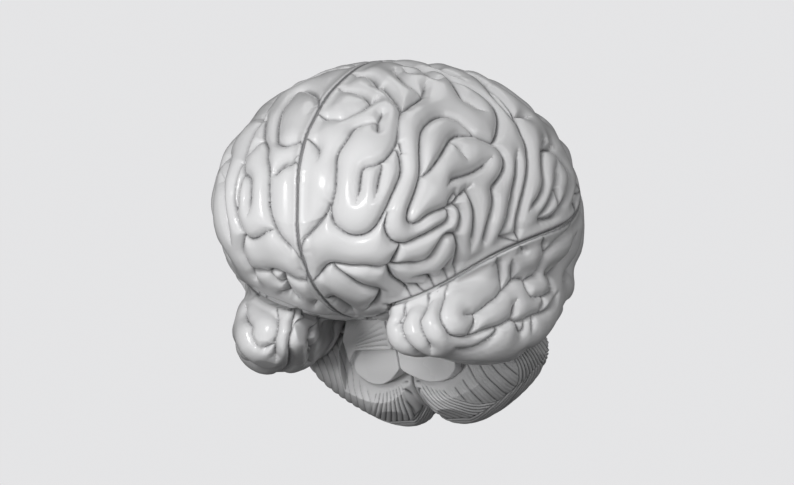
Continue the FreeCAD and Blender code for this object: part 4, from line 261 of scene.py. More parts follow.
        (-149,-131,787,100,-149,-131,787,100,-158,-144,780,100,-168,-158,773,100,-178,-171,765,100,-187,-184,757,100,-198,-197,750,100,-208,-209,742,100,-220,-221,734,100,-232,-231,725,100,-245,-240,717,100,-259,-247,708,100,-274,-252,700,100,-290,-254,691,100,-306,-256,683,100,-321,-259,674,100,-336,-262,664,100,-350,-267,653,100,-350,-267,653,100),
        (-350,-267,653,100,-350,-267,653,100,-345,-252,663,100,-341,-238,673,100,-336,-223,682,100,-331,-209,692,100,-326,-194,701,76,-321,-179,711,45,-315,-165,720,15),
        (-655,42,433,15,-658,37,417,41,-662,33,399,66,-666,28,383,92,-669,22,366,100,-671,16,349,100,-673,11,332,100,-674,6,315,100,-674,-1,298,100,-675,-8,281,100,-675,-15,265,100,-675,-22,248,100,-676,-27,231,100,-675,-31,213,100,-674,-37,196,100,-672,-42,179,100,-670,-47,162,100,-668,-50,144,100,-665,-53,127,100,-661,-56,110,100,-657,-59,92,100,-652,-64,76,100,-646,-68,59,100,-639,-70,42,100,-640,-60,37,100),
        (-8,-194,-291,95,-19,-194,-294,95,-33,-204,-294,95,-46,-216,-294,95,-57,-230,-294,95,-68,-244,-293,95,-80,-257,-292,95,-94,-267,-291,95,-110,-275,-288,95,-126,-281,-285,95,-143,-287,-282,95,-159,-294,-278,95,-173,-303,-274,95,-186,-314,-270,95,-199,-325,-265,95,-213,-335,-259,95,-227,-343,-253,95,-243,-350,-246,95,-258,-353,-240,95,-275,-354,-233,95,-291,-354,-226,95,-307,-354,-218,95,-323,-355,-210,95,-323,-355,-210,95),
        (-193,-220,-270,95,-187,-194,-275,95,-183,-176,-275,95,-175,-160,-276,95,-162,-147,-277,95,-149,-135,-279,95,-136,-123,-280,95,-123,-111,-281,95,-111,-98,-281,95,-98,-85,-282,95,-86,-72,-282,95,-75,-58,-281,95,-66,-43,-280,95,-61,-26,-278,95,-60,-8,-276,88,-66,8,-273,64,-77,21,-269,39,-94,28,-266,14),
        (-424,-523,-74,14,-435,-528,-58,82,-447,-528,-43,95,-460,-522,-30,95,-460,-522,-30,95),
        (-188,-38,806,95,-188,-38,806,95,-175,-28,812,95,-160,-21,816,95,-143,-16,821,95,-126,-13,824,95,-108,-12,826,95,-90,-14,828,95,-74,-20,828,95,-61,-32,826,95,-57,-49,822,95,-56,-66,818,95,-57,-83,814,95,-58,-100,809,95,-64,-117,804,95,-74,-130,799,95,-87,-140,794,95,-103,-147,790,95,-120,-150,786,95,-136,-143,786,95,-149,-131,787,95,-149,-131,787,95),
        (-201,-201,747,95,-202,-203,746,95,-198,-220,742,95,-213,-231,732,95,-232,-233,725,95,-231,-231,726,95),
        (-320,-491,539,95,-320,-491,539,95,-324,-474,547,95,-328,-458,555,95,-332,-441,564,95,-338,-425,570,95,-338,-425,570,95),
        (-500,-523,263,95,-500,-523,263,95,-497,-532,248,95,-495,-540,233,95,-493,-547,217,95,-492,-552,201,95,-492,-555,184,95,-492,-556,166,95,-493,-555,149,95,-494,-553,132,95,-496,-548,115,95,-498,-540,100,95,-502,-530,86,95,-506,-519,73,95,-506,-519,73,95),
        (-430,-567,358,95,-430,-567,358,95,-437,-553,365,95,-443,-539,373,95,-447,-525,383,95,-449,-513,395,95,-449,-501,408,95,-447,-491,422,95,-443,-482,436,95,-439,-472,450,95,-440,-458,461,95,-440,-458,461,95),
        (-106,81,-120,95,-131,69,-120,95,-147,64,-120,95,-162,56,-121,95,-174,46,-125,95,-181,34,-134,95,-194,28,-144,95),
        (-8,144,853,95,-19,144,855,95,-28,129,853,95,-44,121,852,95,-62,119,851,95,-80,120,851,95,-98,120,850,95,-116,119,848,95,-133,119,846,95,-151,117,843,95,-168,113,840,95,-185,108,836,95,-202,102,832,95,-218,95,827,95,-232,87,822,95,-246,76,817,95,-256,63,811,95,-262,47,806,95,-262,47,806,95),
        (-7,231,855,95,-56,244,858,95,-74,248,857,95,-92,252,856,95,-110,255,855,95,-128,255,853,95,-146,255,850,95,-164,253,848,95,-182,250,845,95,-199,246,843,95,-216,240,839,95,-233,234,835,95,-250,227,831,95,-266,220,826,95,-281,211,821,95,-296,203,816,95,-312,196,810,95,-329,192,803,95,-346,191,796,95,-363,191,789,95,-379,191,782,95,-395,187,773,95,-410,181,765,95,-424,173,756,95,-424,173,756,95),
        (-9,319,852,95,-19,337,850,95,-22,355,846,95,-31,370,843,95,-45,382,840,95,-60,391,838,95,-77,399,836,95,-94,406,834,95,-94,406,834,95),
        (-94,406,834,95,-94,406,834,95,-111,401,833,95,-129,395,833,95,-146,389,832,95,-164,384,831,95,-182,383,829,95,-199,386,826,95,-214,396,821,95,-225,410,816,95,-235,424,810,95,-244,439,804,95,-253,453,798,95,-264,467,791,95,-277,478,784,95,-289,490,778,95,-299,504,770,95,-308,518,763,95,-314,533,755,95,-318,549,747,95,-319,566,739,95,-319,566,739,95),
        (-94,406,834,95,-94,406,834,95,-96,424,829,95,-99,441,824,95,-103,457,819,95,-108,474,813,95,-113,490,807,95,-120,506,801,95,-126,522,795,95,-130,538,788,95,-131,554,780,95,-131,571,773,95,-131,571,773,95),
        (-12,625,750,95,-19,625,750,95,-32,614,757,95,-47,605,761,95,-63,597,765,95,-80,590,768,95,-97,583,770,95,-114,576,772,95,-131,571,773,95,-131,571,773,95),
        (-11,751,651,95,-19,744,657,95,-24,732,669,95,-38,722,676,95,-55,717,680,95,-72,713,683,95,-90,710,685,95,-108,706,687,95,-126,704,688,95,-144,704,686,95,-162,705,683,95,-180,705,680,95,-198,706,677,95,-216,706,674,95,-233,706,671,95,-251,704,667,95,-269,702,665,95,-287,700,662,95,-305,697,659,95,-322,693,656,95,-340,689,654,95,-357,682,652,95,-373,674,652,95,-388,664,653,95,-404,654,653,95,-418,644,653,95,-418,644,653,95),
        (-131,571,773,95,-131,571,773,95,-149,574,770,95,-166,579,765,95,-183,586,760,95,-199,592,755,95,-216,596,750,95,-234,597,746,95,-252,596,743,95,-270,592,741,95,-287,585,739,95,-303,576,739,95,-319,566,739,95,-319,566,739,95),
        (-340,306,801,14,-343,324,798,38,-350,340,793,63,-360,354,787,87,-368,369,781,95,-375,385,775,95,-383,400,769,95,-392,414,762,95,-404,426,754,95,-415,438,745,95,-425,449,737,95,-437,460,727,95,-448,471,718,95,-459,482,708,95,-469,494,699,95,-479,505,688,95,-490,515,678,95,-501,524,667,95,-513,531,655,95,-524,539,642,95,-534,547,630,95,-543,556,617,95,-552,566,604,95,-559,576,591,95,-565,588,578,95,-571,599,565,95,-575,611,552,95,-577,624,539,95,-577,637,527,95,-574,652,516,95,-567,667,510,95,-555,680,510,95,-541,690,516,95,-532,693,520,95),
        (-319,566,739,95,-319,566,739,95,-335,569,732,95,-350,574,725,95,-363,581,716,95,-376,590,707,95,-386,599,697,95,-396,610,687,95,-404,621,676,95,-411,632,665,95,-418,644,653,95,-418,644,653,95),
        (-448,294,748,14,-463,294,739,38,-477,298,729,62,-489,308,721,85,-500,320,713,95,-509,333,704,95,-518,346,696,95,-526,359,688,95,-535,372,679,95,-545,382,668,95,-557,389,656,95,-568,396,644,95,-578,404,632,95,-587,414,620,95,-595,425,608,95,-604,434,596,95,-612,445,583,95,-619,456,571,95,-625,467,559,95,-630,479,546,95,-636,490,533,95,-642,499,520,95,-647,511,506,95,-651,523,494,95,-654,535,481,95,-658,544,466,95,-661,554,452,95,-662,566,438,95,-662,580,427,95,-661,595,418,95,-657,611,411,95,-649,627,411,95,-639,639,419,95,-631,646,419,95),
        (-418,644,653,95,-418,644,653,95,-429,653,641,95,-440,660,629,95,-453,665,617,65,-467,668,605,14),
    ),
    "right_temporo_occipital_lobe": (
        (-457,-311,-283,86,-457,-311,-283,86,-446,-322,-293,86,-435,-332,-303,86,-423,-341,-315,86,-415,-347,-330,86,-414,-349,-348,85,-414,-349,-366,81,-408,-348,-384,76,-402,-346,-401,71,-389,-341,-422,71),
        (-350,283,-385,86,-350,283,-385,86,-338,284,-372,86,-327,284,-359,86,-317,285,-345,86,-307,286,-331,86,-299,287,-315,86,-292,285,-300,86,-285,280,-284,86,-281,270,-271,81,-278,257,-260,77,-275,243,-250,72,-275,243,-250,72),
        (-304,-344,-422,86,-304,-344,-422,86,-300,-349,-406,86,-295,-353,-390,86,-291,-354,-373,86,-287,-354,-356,86,-284,-354,-339,86,-283,-352,-321,86,-286,-345,-306,86,-290,-334,-293,86,-295,-322,-281,86,-300,-310,-270,86,-305,-298,-258,86,-308,-286,-245,86,-312,-274,-233,86,-319,-271,-229,86),
        (-242,-278,-441,83,-240,-285,-441,83,-235,-298,-429,84,-230,-309,-416,85,-226,-316,-401,86,-221,-319,-384,86,-216,-318,-367,83,-212,-314,-351,79,-209,-310,-334,76,-209,-310,-334,76),
        (-208,-155,-373,71,-204,-178,-389,71,-204,-170,-373,76,-204,-161,-358,81,-204,-151,-344,85,-204,-140,-330,81,-204,-129,-317,76,-204,-118,-303,71,-204,-106,-290,66,-205,-94,-269,62),
        (-204,-206,-269,86,-204,-218,-275,86,-204,-234,-284,86,-204,-250,-293,86,-204,-265,-303,86,-204,-280,-313,82,-206,-295,-323,78,-209,-310,-334,74,-209,-310,-334,74),
        (-212,-314,-337,81,-214,-316,-335,81,-215,-311,-318,83,-217,-305,-301,84,-220,-298,-286,86,-224,-290,-271,86,-236,-277,-249,86),
        (-304,-344,-422,86,-304,-344,-422,86,-304,-335,-437,86,-306,-323,-449,86,-309,-309,-458,86,-314,-295,-465,86,-319,-279,-471,86,-314,-290,-466,86),
        (-304,-344,-422,86,-304,-344,-422,86,-320,-343,-427,86,-335,-340,-433,86,-351,-338,-439,86,-351,-338,-439,86),
        (-319,-265,-222,86,-321,-270,-227,86,-313,-280,-239,86,-307,-292,-251,86,-302,-304,-263,86,-297,-316,-275,86,-292,-328,-287,86,-288,-340,-299,86,-284,-349,-313,86,-283,-353,-330,86,-285,-354,-348,86,-287,-354,-365,86,-290,-353,-383,86,-294,-350,-400,86,-297,-345,-416,86,-299,-337,-432,86,-301,-327,-446,86,-306,-313,-456,86,-311,-298,-462,86,-317,-282,-467,76,-323,-266,-471,55,-329,-250,-475,34,-335,-233,-479,13),
        (-214,-316,-335,86,-212,-314,-337,86,-216,-319,-354,86,-219,-321,-371,86,-223,-319,-389,86,-226,-313,-406,86,-231,-304,-421,86,-237,-291,-432,86,-244,-276,-439,86,-251,-260,-444,86,-258,-244,-448,86,-266,-228,-451,86,-274,-212,-454,86,-282,-196,-456,86,-289,-180,-458,86,-297,-164,-460,86,-305,-147,-462,86,-314,-131,-464,86,-322,-115,-466,86,-330,-99,-468,86,-338,-83,-469,86,-346,-67,-471,86,-355,-51,-472,86,-355,-51,-472,86),
        (-205,-94,-269,86,-205,-104,-285,86,-205,-116,-298,86,-204,-129,-311,86,-204,-140,-325,86,-204,-150,-339,86,-205,-156,-356,86,-209,-152,-372,86,-216,-138,-382,86,-223,-123,-387,86,-230,-107,-392,86,-237,-92,-396,86,-244,-76,-400,86,-251,-60,-403,86,-259,-44,-406,86,-266,-28,-409,86,-273,-12,-412,86,-281,4,-415,86,-277,24,-400,86),
        (-726,436,188,86,-731,427,185,86,-733,415,172,86,-734,402,159,86,-735,390,146,86,-736,377,134,86,-736,364,121,86,-736,350,109,86,-735,336,98,86,-734,322,88,86,-733,307,78,86,-731,292,67,86,-728,278,56,86,-725,265,45,86,-721,252,33,86,-717,239,21,86,-713,227,8,86,-707,219,-6,86,-699,217,-22,86,-691,218,-38,86,-681,222,-53,86,-671,225,-67,86,-662,219,-81,86,-657,204,-89,86,-654,188,-96,86,-651,172,-103,86,-648,156,-112,86,-651,149,-127,86,-657,151,-144,86,-664,154,-160,86,-672,163,-173,86,-678,179,-178,86,-681,196,-176,86,-684,214,-173,86,-687,231,-170,86,-692,248,-169,86,-692,248,-169,86),
        (-621,-45,-341,86,-621,-45,-341,86,-614,-60,-346,86,-607,-76,-352,86,-601,-91,-358,86,-593,-105,-366,86,-585,-119,-375,86,-576,-131,-384,86,-567,-144,-392,86,-558,-157,-400,86,-548,-171,-406,86,-540,-186,-411,86,-532,-202,-414,86,-532,-202,-414,86),
        (-572,-168,-291,86,-572,-168,-291,86,-575,-153,-282,86,-578,-138,-273,86,-579,-122,-264,86,-580,-107,-255,86,-581,-92,-245,86,-584,-78,-235,86,-587,-63,-226,86,-591,-48,-217,86,-594,-33,-208,86,-598,-20,-196,86,-601,-8,-184,86,-603,5,-171,86,-607,19,-162,86,-612,34,-154,86,-615,49,-145,86,-618,64,-135,86,-622,77,-124,86,-627,92,-115,86,-632,108,-112,86,-637,125,-110,86,-642,142,-109,86,-648,153,-115,86),
        (-490,-207,-449,69,-490,-207,-449,69,-488,-189,-453,74,-487,-171,-456,79,-487,-153,-459,84,-491,-135,-460,86,-499,-119,-459,86,-510,-105,-456,86,-524,-94,-450,86,-538,-85,-443,86,-552,-77,-435,86,-566,-70,-425,86,-578,-63,-414,86,-590,-57,-402,86,-601,-50,-388,86,-610,-43,-374,86,-618,-40,-358,86,-621,-45,-341,86,-621,-45,-341,86),
        (-722,498,130,13,-721,491,113,35,-719,485,96,57,-716,480,79,79,-712,476,62,86,-706,471,45,86,-700,464,30,86,-695,454,15,86,-689,443,2,86,-684,431,-10,86,-680,417,-22,86,-677,402,-32,86,-676,386,-41,86,-676,370,-49,86,-676,353,-56,86,-677,342,-64,86),
        (-694,393,-131,13,-696,380,-143,35,-697,366,-156,57,-698,353,-168,79,-699,340,-181,86,-699,327,-193,86,-699,312,-204,86,-699,297,-214,86,-698,281,-223,86,-697,265,-231,86,-696,248,-238,86,-695,231,-244,86,-693,213,-249,86,-691,196,-254,86,-689,179,-259,86,-686,162,-265,86,-682,145,-272,86,-678,130,-280,86,-674,115,-289,86,-674,115,-289,86),
        (-659,62,-304,86,-659,62,-304,86,-655,45,-299,86,-650,28,-298,86,-645,12,-303,86,-640,-2,-313,86,-634,-16,-323,86,-628,-30,-332,86,-621,-45,-341,86,-621,-45,-341,86),
        (-572,-168,-291,86,-572,-168,-291,86,-575,-166,-308,86,-576,-166,-326,86,-573,-169,-343,86,-568,-174,-359,81,-562,-178,-375,76,-554,-181,-390,72,-550,-168,-405,72),
        (-655,579,-12,86,-655,579,-12,86,-659,564,-20,86,-663,548,-29,86,-667,532,-38,86,-671,516,-46,86,-675,501,-55,81,-679,485,-64,59,-683,469,-73,36,-686,454,-82,13),
        (-714,229,11,86,-714,213,15,86,-717,205,29,86,-719,195,42,86,-719,184,54,86,-719,172,64,86,-719,159,74,86,-714,159,76,86),
        (-686,73,0,70,-683,64,-1,70,-679,47,4,75,-672,33,11,79,-658,31,21,84,-656,31,21,86),
        (-647,69,-202,10,-650,59,-218,43,-652,50,-233,80,-653,42,-249,84,-653,36,-266,86,-651,29,-283,86,-652,35,-297,86),
        (-624,84,-118,86,-628,72,-109,86,-635,60,-97,86,-640,49,-84,82,-645,37,-71,78,-649,26,-57,42,-651,14,-43,10),
        (-688,174,-260,86,-687,172,-269,86,-684,169,-286,86,-681,170,-303,84,-676,170,-319,55,-671,169,-335,12),
        (-657,104,-350,86,-657,104,-350,86,-663,113,-337,86,-668,116,-322,86,-672,116,-306,86,-674,115,-289,86,-674,115,-289,86),
        (-695,230,-244,86,-695,220,-233,86,-695,229,-218,86,-695,237,-203,86,-694,243,-186,86,-692,248,-169,86,-692,248,-169,86),
        (-687,322,-115,86,-695,341,-131,86,-694,326,-138,86,-693,311,-144,86,-693,295,-151,86,-693,280,-157,86,-692,264,-163,86,-692,248,-169,86,-692,248,-169,86),
        (-676,334,-63,86,-677,342,-64,86,-681,336,-81,86,-684,329,-97,85,-686,322,-113,84,-689,314,-128,83,-694,319,-141,83),
        (-659,62,-304,86,-659,62,-304,86,-659,73,-322,86,-658,87,-337,86,-657,104,-350,86,-657,104,-350,86),
        (-677,342,-64,86,-676,334,-63,86,-674,318,-63,86,-672,303,-65,86,-670,287,-67,59,-668,272,-69,13),
        (-659,62,-304,86,-659,62,-304,86,-665,80,-301,86,-670,97,-295,86,-674,115,-289,86,-674,115,-289,86),
        (-614,174,-414,13,-613,191,-412,49,-611,207,-410,86,-610,223,-408,86,-608,240,-406,86,-607,256,-404,86,-607,256,-404,86),
        (-611,-13,-92,86,-611,-13,-92,86,-607,-2,-104,86,-603,10,-116,86,-600,19,-130,86,-602,20,-147,86,-606,16,-163,86,-605,12,-166,86),
        (-644,31,21,86,-646,32,22,86,-663,28,16,86,-676,38,9,86,-682,55,4,86,-686,73,0,86,-683,64,-1,86),
        (-250,-62,-403,95,-250,-63,-403,95,-245,-52,-393,95,-249,-35,-390,95,-253,-18,-387,95,-260,-1,-388,95,-269,13,-393,95,-279,25,-401,95,-289,37,-409,95,-300,50,-416,95,-310,64,-421,95,-319,79,-424,95,-328,95,-426,95,-336,110,-428,95,-344,126,-429,95,-351,143,-429,86,-357,159,-428,62,-361,177,-426,38,-365,194,-423,14),
        (-355,-51,-472,95,-355,-51,-472,95,-368,-38,-474,95,-381,-26,-476,95,-394,-13,-477,95,-407,0,-479,95,-419,14,-479,95,-429,29,-479,95,-439,45,-479,95,-448,61,-477,95,-457,77,-476,95,-466,93,-474,95,-475,109,-472,95,-481,126,-469,95,-487,143,-466,95,-491,160,-463,95,-491,178,-460,88,-488,196,-456,64,-484,214,-452,39,-481,231,-448,14),
        (-490,-207,-449,95,-490,-207,-449,95,-494,-222,-441,95,-503,-230,-430,95,-516,-228,-417,95,-526,-218,-410,95,-532,-202,-414,95,-532,-202,-414,95),
        (-457,-311,-283,95,-457,-311,-283,95,-465,-297,-277,95,-473,-282,-271,95,-481,-268,-264,95,-485,-253,-255,95,-487,-240,-244,90,-489,-226,-233,65,-492,-212,-223,39,-498,-197,-216,14),
        (-535,-119,-122,14,-544,-104,-121,39,-555,-92,-115,65,-567,-82,-107,90,-578,-71,-99,95,-589,-59,-92,95,-598,-45,-88,95,-605,-29,-88,95,-611,-13,-92,95,-611,-13,-92,95),
        (-9,990,-53,95,-19,997,-46,95,-24,1006,-32,95,-38,1011,-22,95,-55,1013,-17,95,-72,1014,-12,95,-89,1015,-7,95,-105,1017,1,95,-120,1018,9,95,-135,1019,19,95,-150,1019,29,95,-163,1019,41,95,-176,1019,53,95,-188,1018,66,95,-199,1017,80,95,-208,1015,95,95,-216,1013,111,95,-222,1011,128,95,-227,1008,145,95,-229,1005,162,95,-228,1002,180,95,-225,999,197,95,-221,996,214,95,-219,992,231,95,-219,992,231,95),
        (-144,731,-130,14,-127,737,-130,38,-111,743,-131,62,-95,750,-131,85,-79,759,-131,95,-65,769,-130,95,-51,780,-130,95,-38,792,-129,95,-28,806,-128,95,-22,823,-126,95,-19,840,-124,95,-20,857,-121,95,-24,874,-117,95,-32,889,-113,95,-43,902,-109,95,-58,911,-106,95,-74,917,-103,95,-91,920,-101,95,-109,920,-99,95,-126,920,-98,95,-144,919,-96,95,-144,919,-96,95),
        (-144,919,-96,95,-144,919,-96,95,-158,927,-90,95,-172,935,-83,95,-186,942,-76,95,-201,947,-69,95,-217,950,-62,95,-234,951,-56,95,-251,948,-53,95,-266,941,-52,95,-279,929,-56,95,-290,916,-61,95,-300,903,-65,95,-308,888,-70,95,-315,873,-75,95,-323,858,-79,95,-331,843,-84,95,-331,843,-84,95),
        (-144,919,-96,95,-144,919,-96,95,-150,903,-102,95,-155,886,-106,95,-161,870,-110,95,-169,854,-113,95,-179,839,-115,95,-192,827,-116,95,-207,816,-116,95,-223,808,-116,95,-240,804,-115,95,-258,804,-113,95,-275,808,-110,95,-292,814,-106,95,-307,822,-100,95,-320,832,-93,95,-331,843,-84,95,-331,843,-84,95),
        (-242,44,-219,95,-242,44,-219,95,-236,35,-233,95,-241,41,-237,95,-242,44,-219,95,-242,44,-219,95),
        (-242,44,-219,95,-242,44,-219,95,-239,60,-213,95,-236,77,-209,95,-232,93,-205,95,-228,110,-203,95,-223,127,-201,95,-221,144,-201,95,-223,162,-201,95,-226,179,-202,95,-229,196,-203,95,-231,214,-204,95,-233,231,-205,95,-241,244,-211,95,-253,245,-224,95,-264,244,-237,95,-275,243,-250,95,-275,243,-250,95),
        (-282,668,-196,14,-295,681,-192,39,-308,693,-188,64,-322,704,-183,89,-338,712,-179,95,-355,718,-175,95,-373,722,-171,95,-390,725,-167,95,-409,726,-165,95,-427,725,-162,95,-445,722,-160,95,-463,720,-157,95,-481,716,-154,95,-481,716,-154,95),
        (-350,283,-385,95,-350,283,-385,95,-364,292,-392,95,-380,295,-401,95,-396,298,-408,95,-413,303,-413,95,-430,310,-415,95,-446,319,-416,95,-461,328,-413,95,-476,335,-405,95,-489,338,-393,95,-501,340,-379,95,-514,341,-366,88,-525,343,-352,63,-534,345,-336,39,-539,349,-319,14),
        (-331,843,-84,95,-331,843,-84,95,-348,837,-83,95,-365,832,-81,95,-383,828,-78,95,-400,824,-74,95,-418,819,-69,95,-435,814,-65,95,-451,809,-60,95,-468,802,-55,95,-468,802,-55,95),
        (-481,716,-154,95,-481,716,-154,95,-482,729,-140,95,-483,742,-125,95,-486,753,-110,95,-485,765,-95,95,-482,777,-81,95,-476,790,-67,95,-468,802,-55,95,-468,802,-55,95),
        (-481,716,-154,95,-481,716,-154,95,-493,705,-161,95,-504,693,-168,95,-513,680,-176,95,-522,667,-185,95,-530,654,-193,95,-537,640,-202,95,-541,626,-213,95,-544,612,-223,95,-546,598,-234,95,-547,584,-245,95,-546,571,-257,95,-547,556,-267,95,-550,542,-277,95,-553,527,-287,95,-552,513,-297,95,-549,498,-306,95,-547,482,-314,95,-547,466,-323,86,-548,451,-331,62,-550,435,-339,38,-552,419,-346,14),
        (-468,802,-55,95,-468,802,-55,95,-481,801,-43,95,-492,801,-28,95,-501,803,-12,95,-509,808,4,95,-517,812,19,90,-526,814,35,65,-534,815,52,39,-541,816,69,14),
        (-607,256,-404,95,-607,256,-404,95,-604,273,-401,95,-603,290,-396,95,-607,306,-388,95,-613,319,-378,95,-619,333,-368,95,-625,346,-357,95,-630,359,-346,95,-634,372,-335,95,-638,386,-324,95,-641,399,-312,95,-645,412,-300,95,-648,425,-288,95,-650,438,-276,95,-652,450,-264,95,-653,464,-252,95,-654,477,-240,95,-655,490,-228,95,-655,503,-216,95,-654,517,-205,95,-653,531,-194,95,-652,544,-182,95,-651,557,-170,95,-649,571,-158,95,-646,585,-148,95,-641,599,-139,95,-636,614,-129,95,-631,628,-120,95,-624,642,-111,95,-617,656,-102,95,-611,669,-92,95,-605,681,-80,95,-601,692,-66,95,-598,699,-51,95,-597,704,-33,95,-597,706,-16,95,-598,709,2,95,-601,712,19,95,-605,717,36,95,-610,723,52,95,-614,727,69,95,-618,730,86,95,-620,732,103,86,-623,733,121,62,-625,732,139,38,-628,729,156,14),
        (-19,760,639,95,-19,782,619,95,-19,794,606,95,-19,805,593,95,-19,817,580,95,-19,828,566,95,-19,839,553,95,-19,850,539,95,-20,860,525,95,-25,870,512,95,-35,879,500,95,-45,887,488,95,-58,893,478,95,-75,895,475,95,-92,892,476,95,-109,888,481,95,-124,882,486,95,-140,877,491,95,-156,872,496,95,-156,872,496,95),
        (-7,1019,106,95,-19,1025,119,95,-35,1025,125,95,-51,1025,132,95,-65,1025,143,95,-78,1024,155,95,-90,1024,168,95,-101,1022,181,95,-112,1019,194,95,-124,1015,207,95,-136,1011,218,95,-151,1006,227,95,-167,1002,231,95,-184,999,232,95,-202,995,232,95,-219,992,231,95,-219,992,231,95),
        (-19,1013,238,14,-19,1006,255,39,-20,1000,272,63,-24,993,288,88,-33,987,303,95,-45,981,316,95,-59,976,327,95,-73,971,336,95,-88,966,345,95,-104,962,353,95,-121,957,359,95,-138,953,364,95,-156,949,367,95,-174,947,367,95,-192,945,365,95,-209,944,359,95,-225,945,350,95,-240,946,340,95,-253,948,328,95,-265,951,314,95,-265,951,314,95),
        (-131,756,632,95,-131,767,629,95,-128,778,617,95,-130,790,604,95,-132,801,591,95,-136,811,578,95,-140,822,564,95,-144,832,551,95,-148,843,538,95,-153,852,524,95,-156,862,510,95,-156,872,496,95,-156,872,496,95),
        (-156,872,496,95,-156,872,496,95,-173,874,489,95,-191,876,482,95,-209,876,478,95,-227,873,475,95,-245,869,475,95,-263,865,474,95,-281,861,473,95,-281,861,473,95),
        (-269,753,616,95,-269,760,609,95,-263,771,598,95,-266,782,585,95,-271,792,571,95,-276,802,558,95,-280,811,544,95,-282,821,530,95,-282,832,516,95,-282,842,502,95,-281,852,487,95,-281,861,473,95,-281,861,473,95),
        (-281,861,473,95,-281,861,473,95,-292,867,459,95,-303,871,446,95,-315,875,433,95,-326,879,419,95,-334,885,404,95,-339,892,388,95,-339,900,372,95,-332,909,358,95,-321,918,347,95,-308,927,337,95,-295,936,329,95,-280,943,322,95,-265,951,314,95,-265,951,314,95),
        (-219,992,231,95,-219,992,231,95,-231,985,242,95,-243,979,254,95,-252,972,268,95,-259,965,282,95,-264,958,298,95,-265,951,314,95,-265,951,314,95),
        (-394,735,578,95,-394,740,578,95,-399,750,563,95,-404,759,548,95,-407,769,533,95,-408,780,519,95,-409,791,504,95,-413,799,488,95,-420,806,472,95,-428,812,456,95,-438,815,441,95,-449,816,427,95,-461,817,413,95,-475,816,401,95,-488,813,388,95,-488,813,388,95),
        (-488,813,388,95,-488,813,388,95,-485,822,373,95,-480,832,359,95,-475,841,344,95,-470,851,329,95,-463,860,315,95,-456,869,301,95,-448,879,288,95,-438,889,277,95,-427,898,265,95,-417,908,254,95,-406,917,243,95,-395,926,232,95,-383,934,221,95,-372,943,209,95,-363,950,195,95,-355,956,180,95,-349,961,163,95,-344,965,146,95,-340,968,129,95,-336,971,112,95,-334,971,94,95,-334,970,76,95,-340,965,59,95,-351,958,47,95,-364,949,38,95,-378,939,31,95,-392,928,27,95,-406,918,28,95,-420,912,38,95,-432,908,51,95,-440,905,67,95,-447,903,84,95,-454,900,100,95,-462,895,116,95,-472,888,129,95,-482,879,141,95,-494,869,151,95,-506,859,160,95,-517,849,170,95,-527,839,181,95,-536,830,195,95,-543,823,209,95,-549,815,224,95,-557,806,239,95,-564,797,253,95,-571,787,266,95,-580,776,277,95,-588,764,288,95,-597,751,298,95,-605,739,309,95,-611,728,322,95,-615,717,336,95,-619,707,350,95,-622,696,364,95,-624,686,379,95,-625,676,395,95,-622,670,411,95,-615,669,428,95,-606,668,434,95),
        (-488,813,388,95,-488,813,388,95,-501,801,394,95,-512,789,402,95,-521,777,412,95,-528,765,424,95,-532,753,437,95,-533,743,453,95,-533,734,468,95,-530,725,484,95,-525,719,500,95,-515,715,515,95,-507,707,519,95),
        (-655,579,-12,95,-655,579,-12,95,-657,587,4,95,-660,594,20,95,-664,601,36,95,-670,607,52,95,-675,612,68,95,-679,616,85,95,-683,616,102,95,-686,616,120,95,-688,616,138,95,-689,616,156,95,-689,617,173,95,-688,618,191,95,-687,620,209,95,-686,620,227,95,-686,620,245,95,-685,617,262,95,-685,613,279,95,-686,606,296,95,-687,597,312,95,-682,594,317,95),
    ),
}

SIDES = (("left", 1.0), ("right", -1.0))
BODY_OF = {
    "left_frontoparietal_lobe": "left_half",
    "right_frontoparietal_lobe": "right_half",
    "left_temporo_occipital_lobe": "left_temporal",
    "right_temporo_occipital_lobe": "right_temporal",
    "left_brainstem_half": "left_stem",
    "right_brainstem_half": "right_stem",
    "left_cerebellum_half": "left_cerebellum",
    "right_cerebellum_half": "right_cerebellum",
}


# ---------------------------------------------------------------- meshes as arrays
def cad_mesh(name):
    """A node's welded triangles, in level millimetres."""
    bm = bmesh.new()
    bm.from_mesh(nodes[name].data)
    bmesh.ops.remove_doubles(bm, verts=bm.verts, dist=2e-6)
    bmesh.ops.triangulate(bm, faces=bm.faces)
    bm.verts.ensure_lookup_table()
    v = to_level([x.co[:] for x in bm.verts])
    f = np.array([[x.index for x in p.verts] for p in bm.faces], int)
    bm.free()
    return v, f


def voxel_mesh(v, f, size):
    """The same solid as an even mesh of small quads."""
    me = bpy.data.meshes.new("tmp")
    me.from_pydata(v.tolist(), [], f.tolist())
    ob = bpy.data.objects.new("tmp", me)
    bpy.context.scene.collection.objects.link(ob)
    m = ob.modifiers.new("even", "REMESH")
    m.mode, m.voxel_size, m.adaptivity = "VOXEL", size, 0.0
    dg = bpy.context.evaluated_depsgraph_get()
    got = bpy.data.meshes.new_from_object(ob.evaluated_get(dg))
    bpy.data.objects.remove(ob)
    bpy.data.meshes.remove(me)
    n = len(got.vertices)
    co = np.zeros(n * 3, np.float32)
    got.vertices.foreach_get("co", co)
    idx = np.zeros(len(got.loops), np.int32)
    got.loops.foreach_get("vertex_index", idx)
    ed = np.zeros(len(got.edges) * 2, np.int32)
    got.edges.foreach_get("vertices", ed)
    bpy.data.meshes.remove(got)
    return co.reshape(-1, 3).astype(float), idx.reshape(-1, 4), ed.reshape(-1, 2)


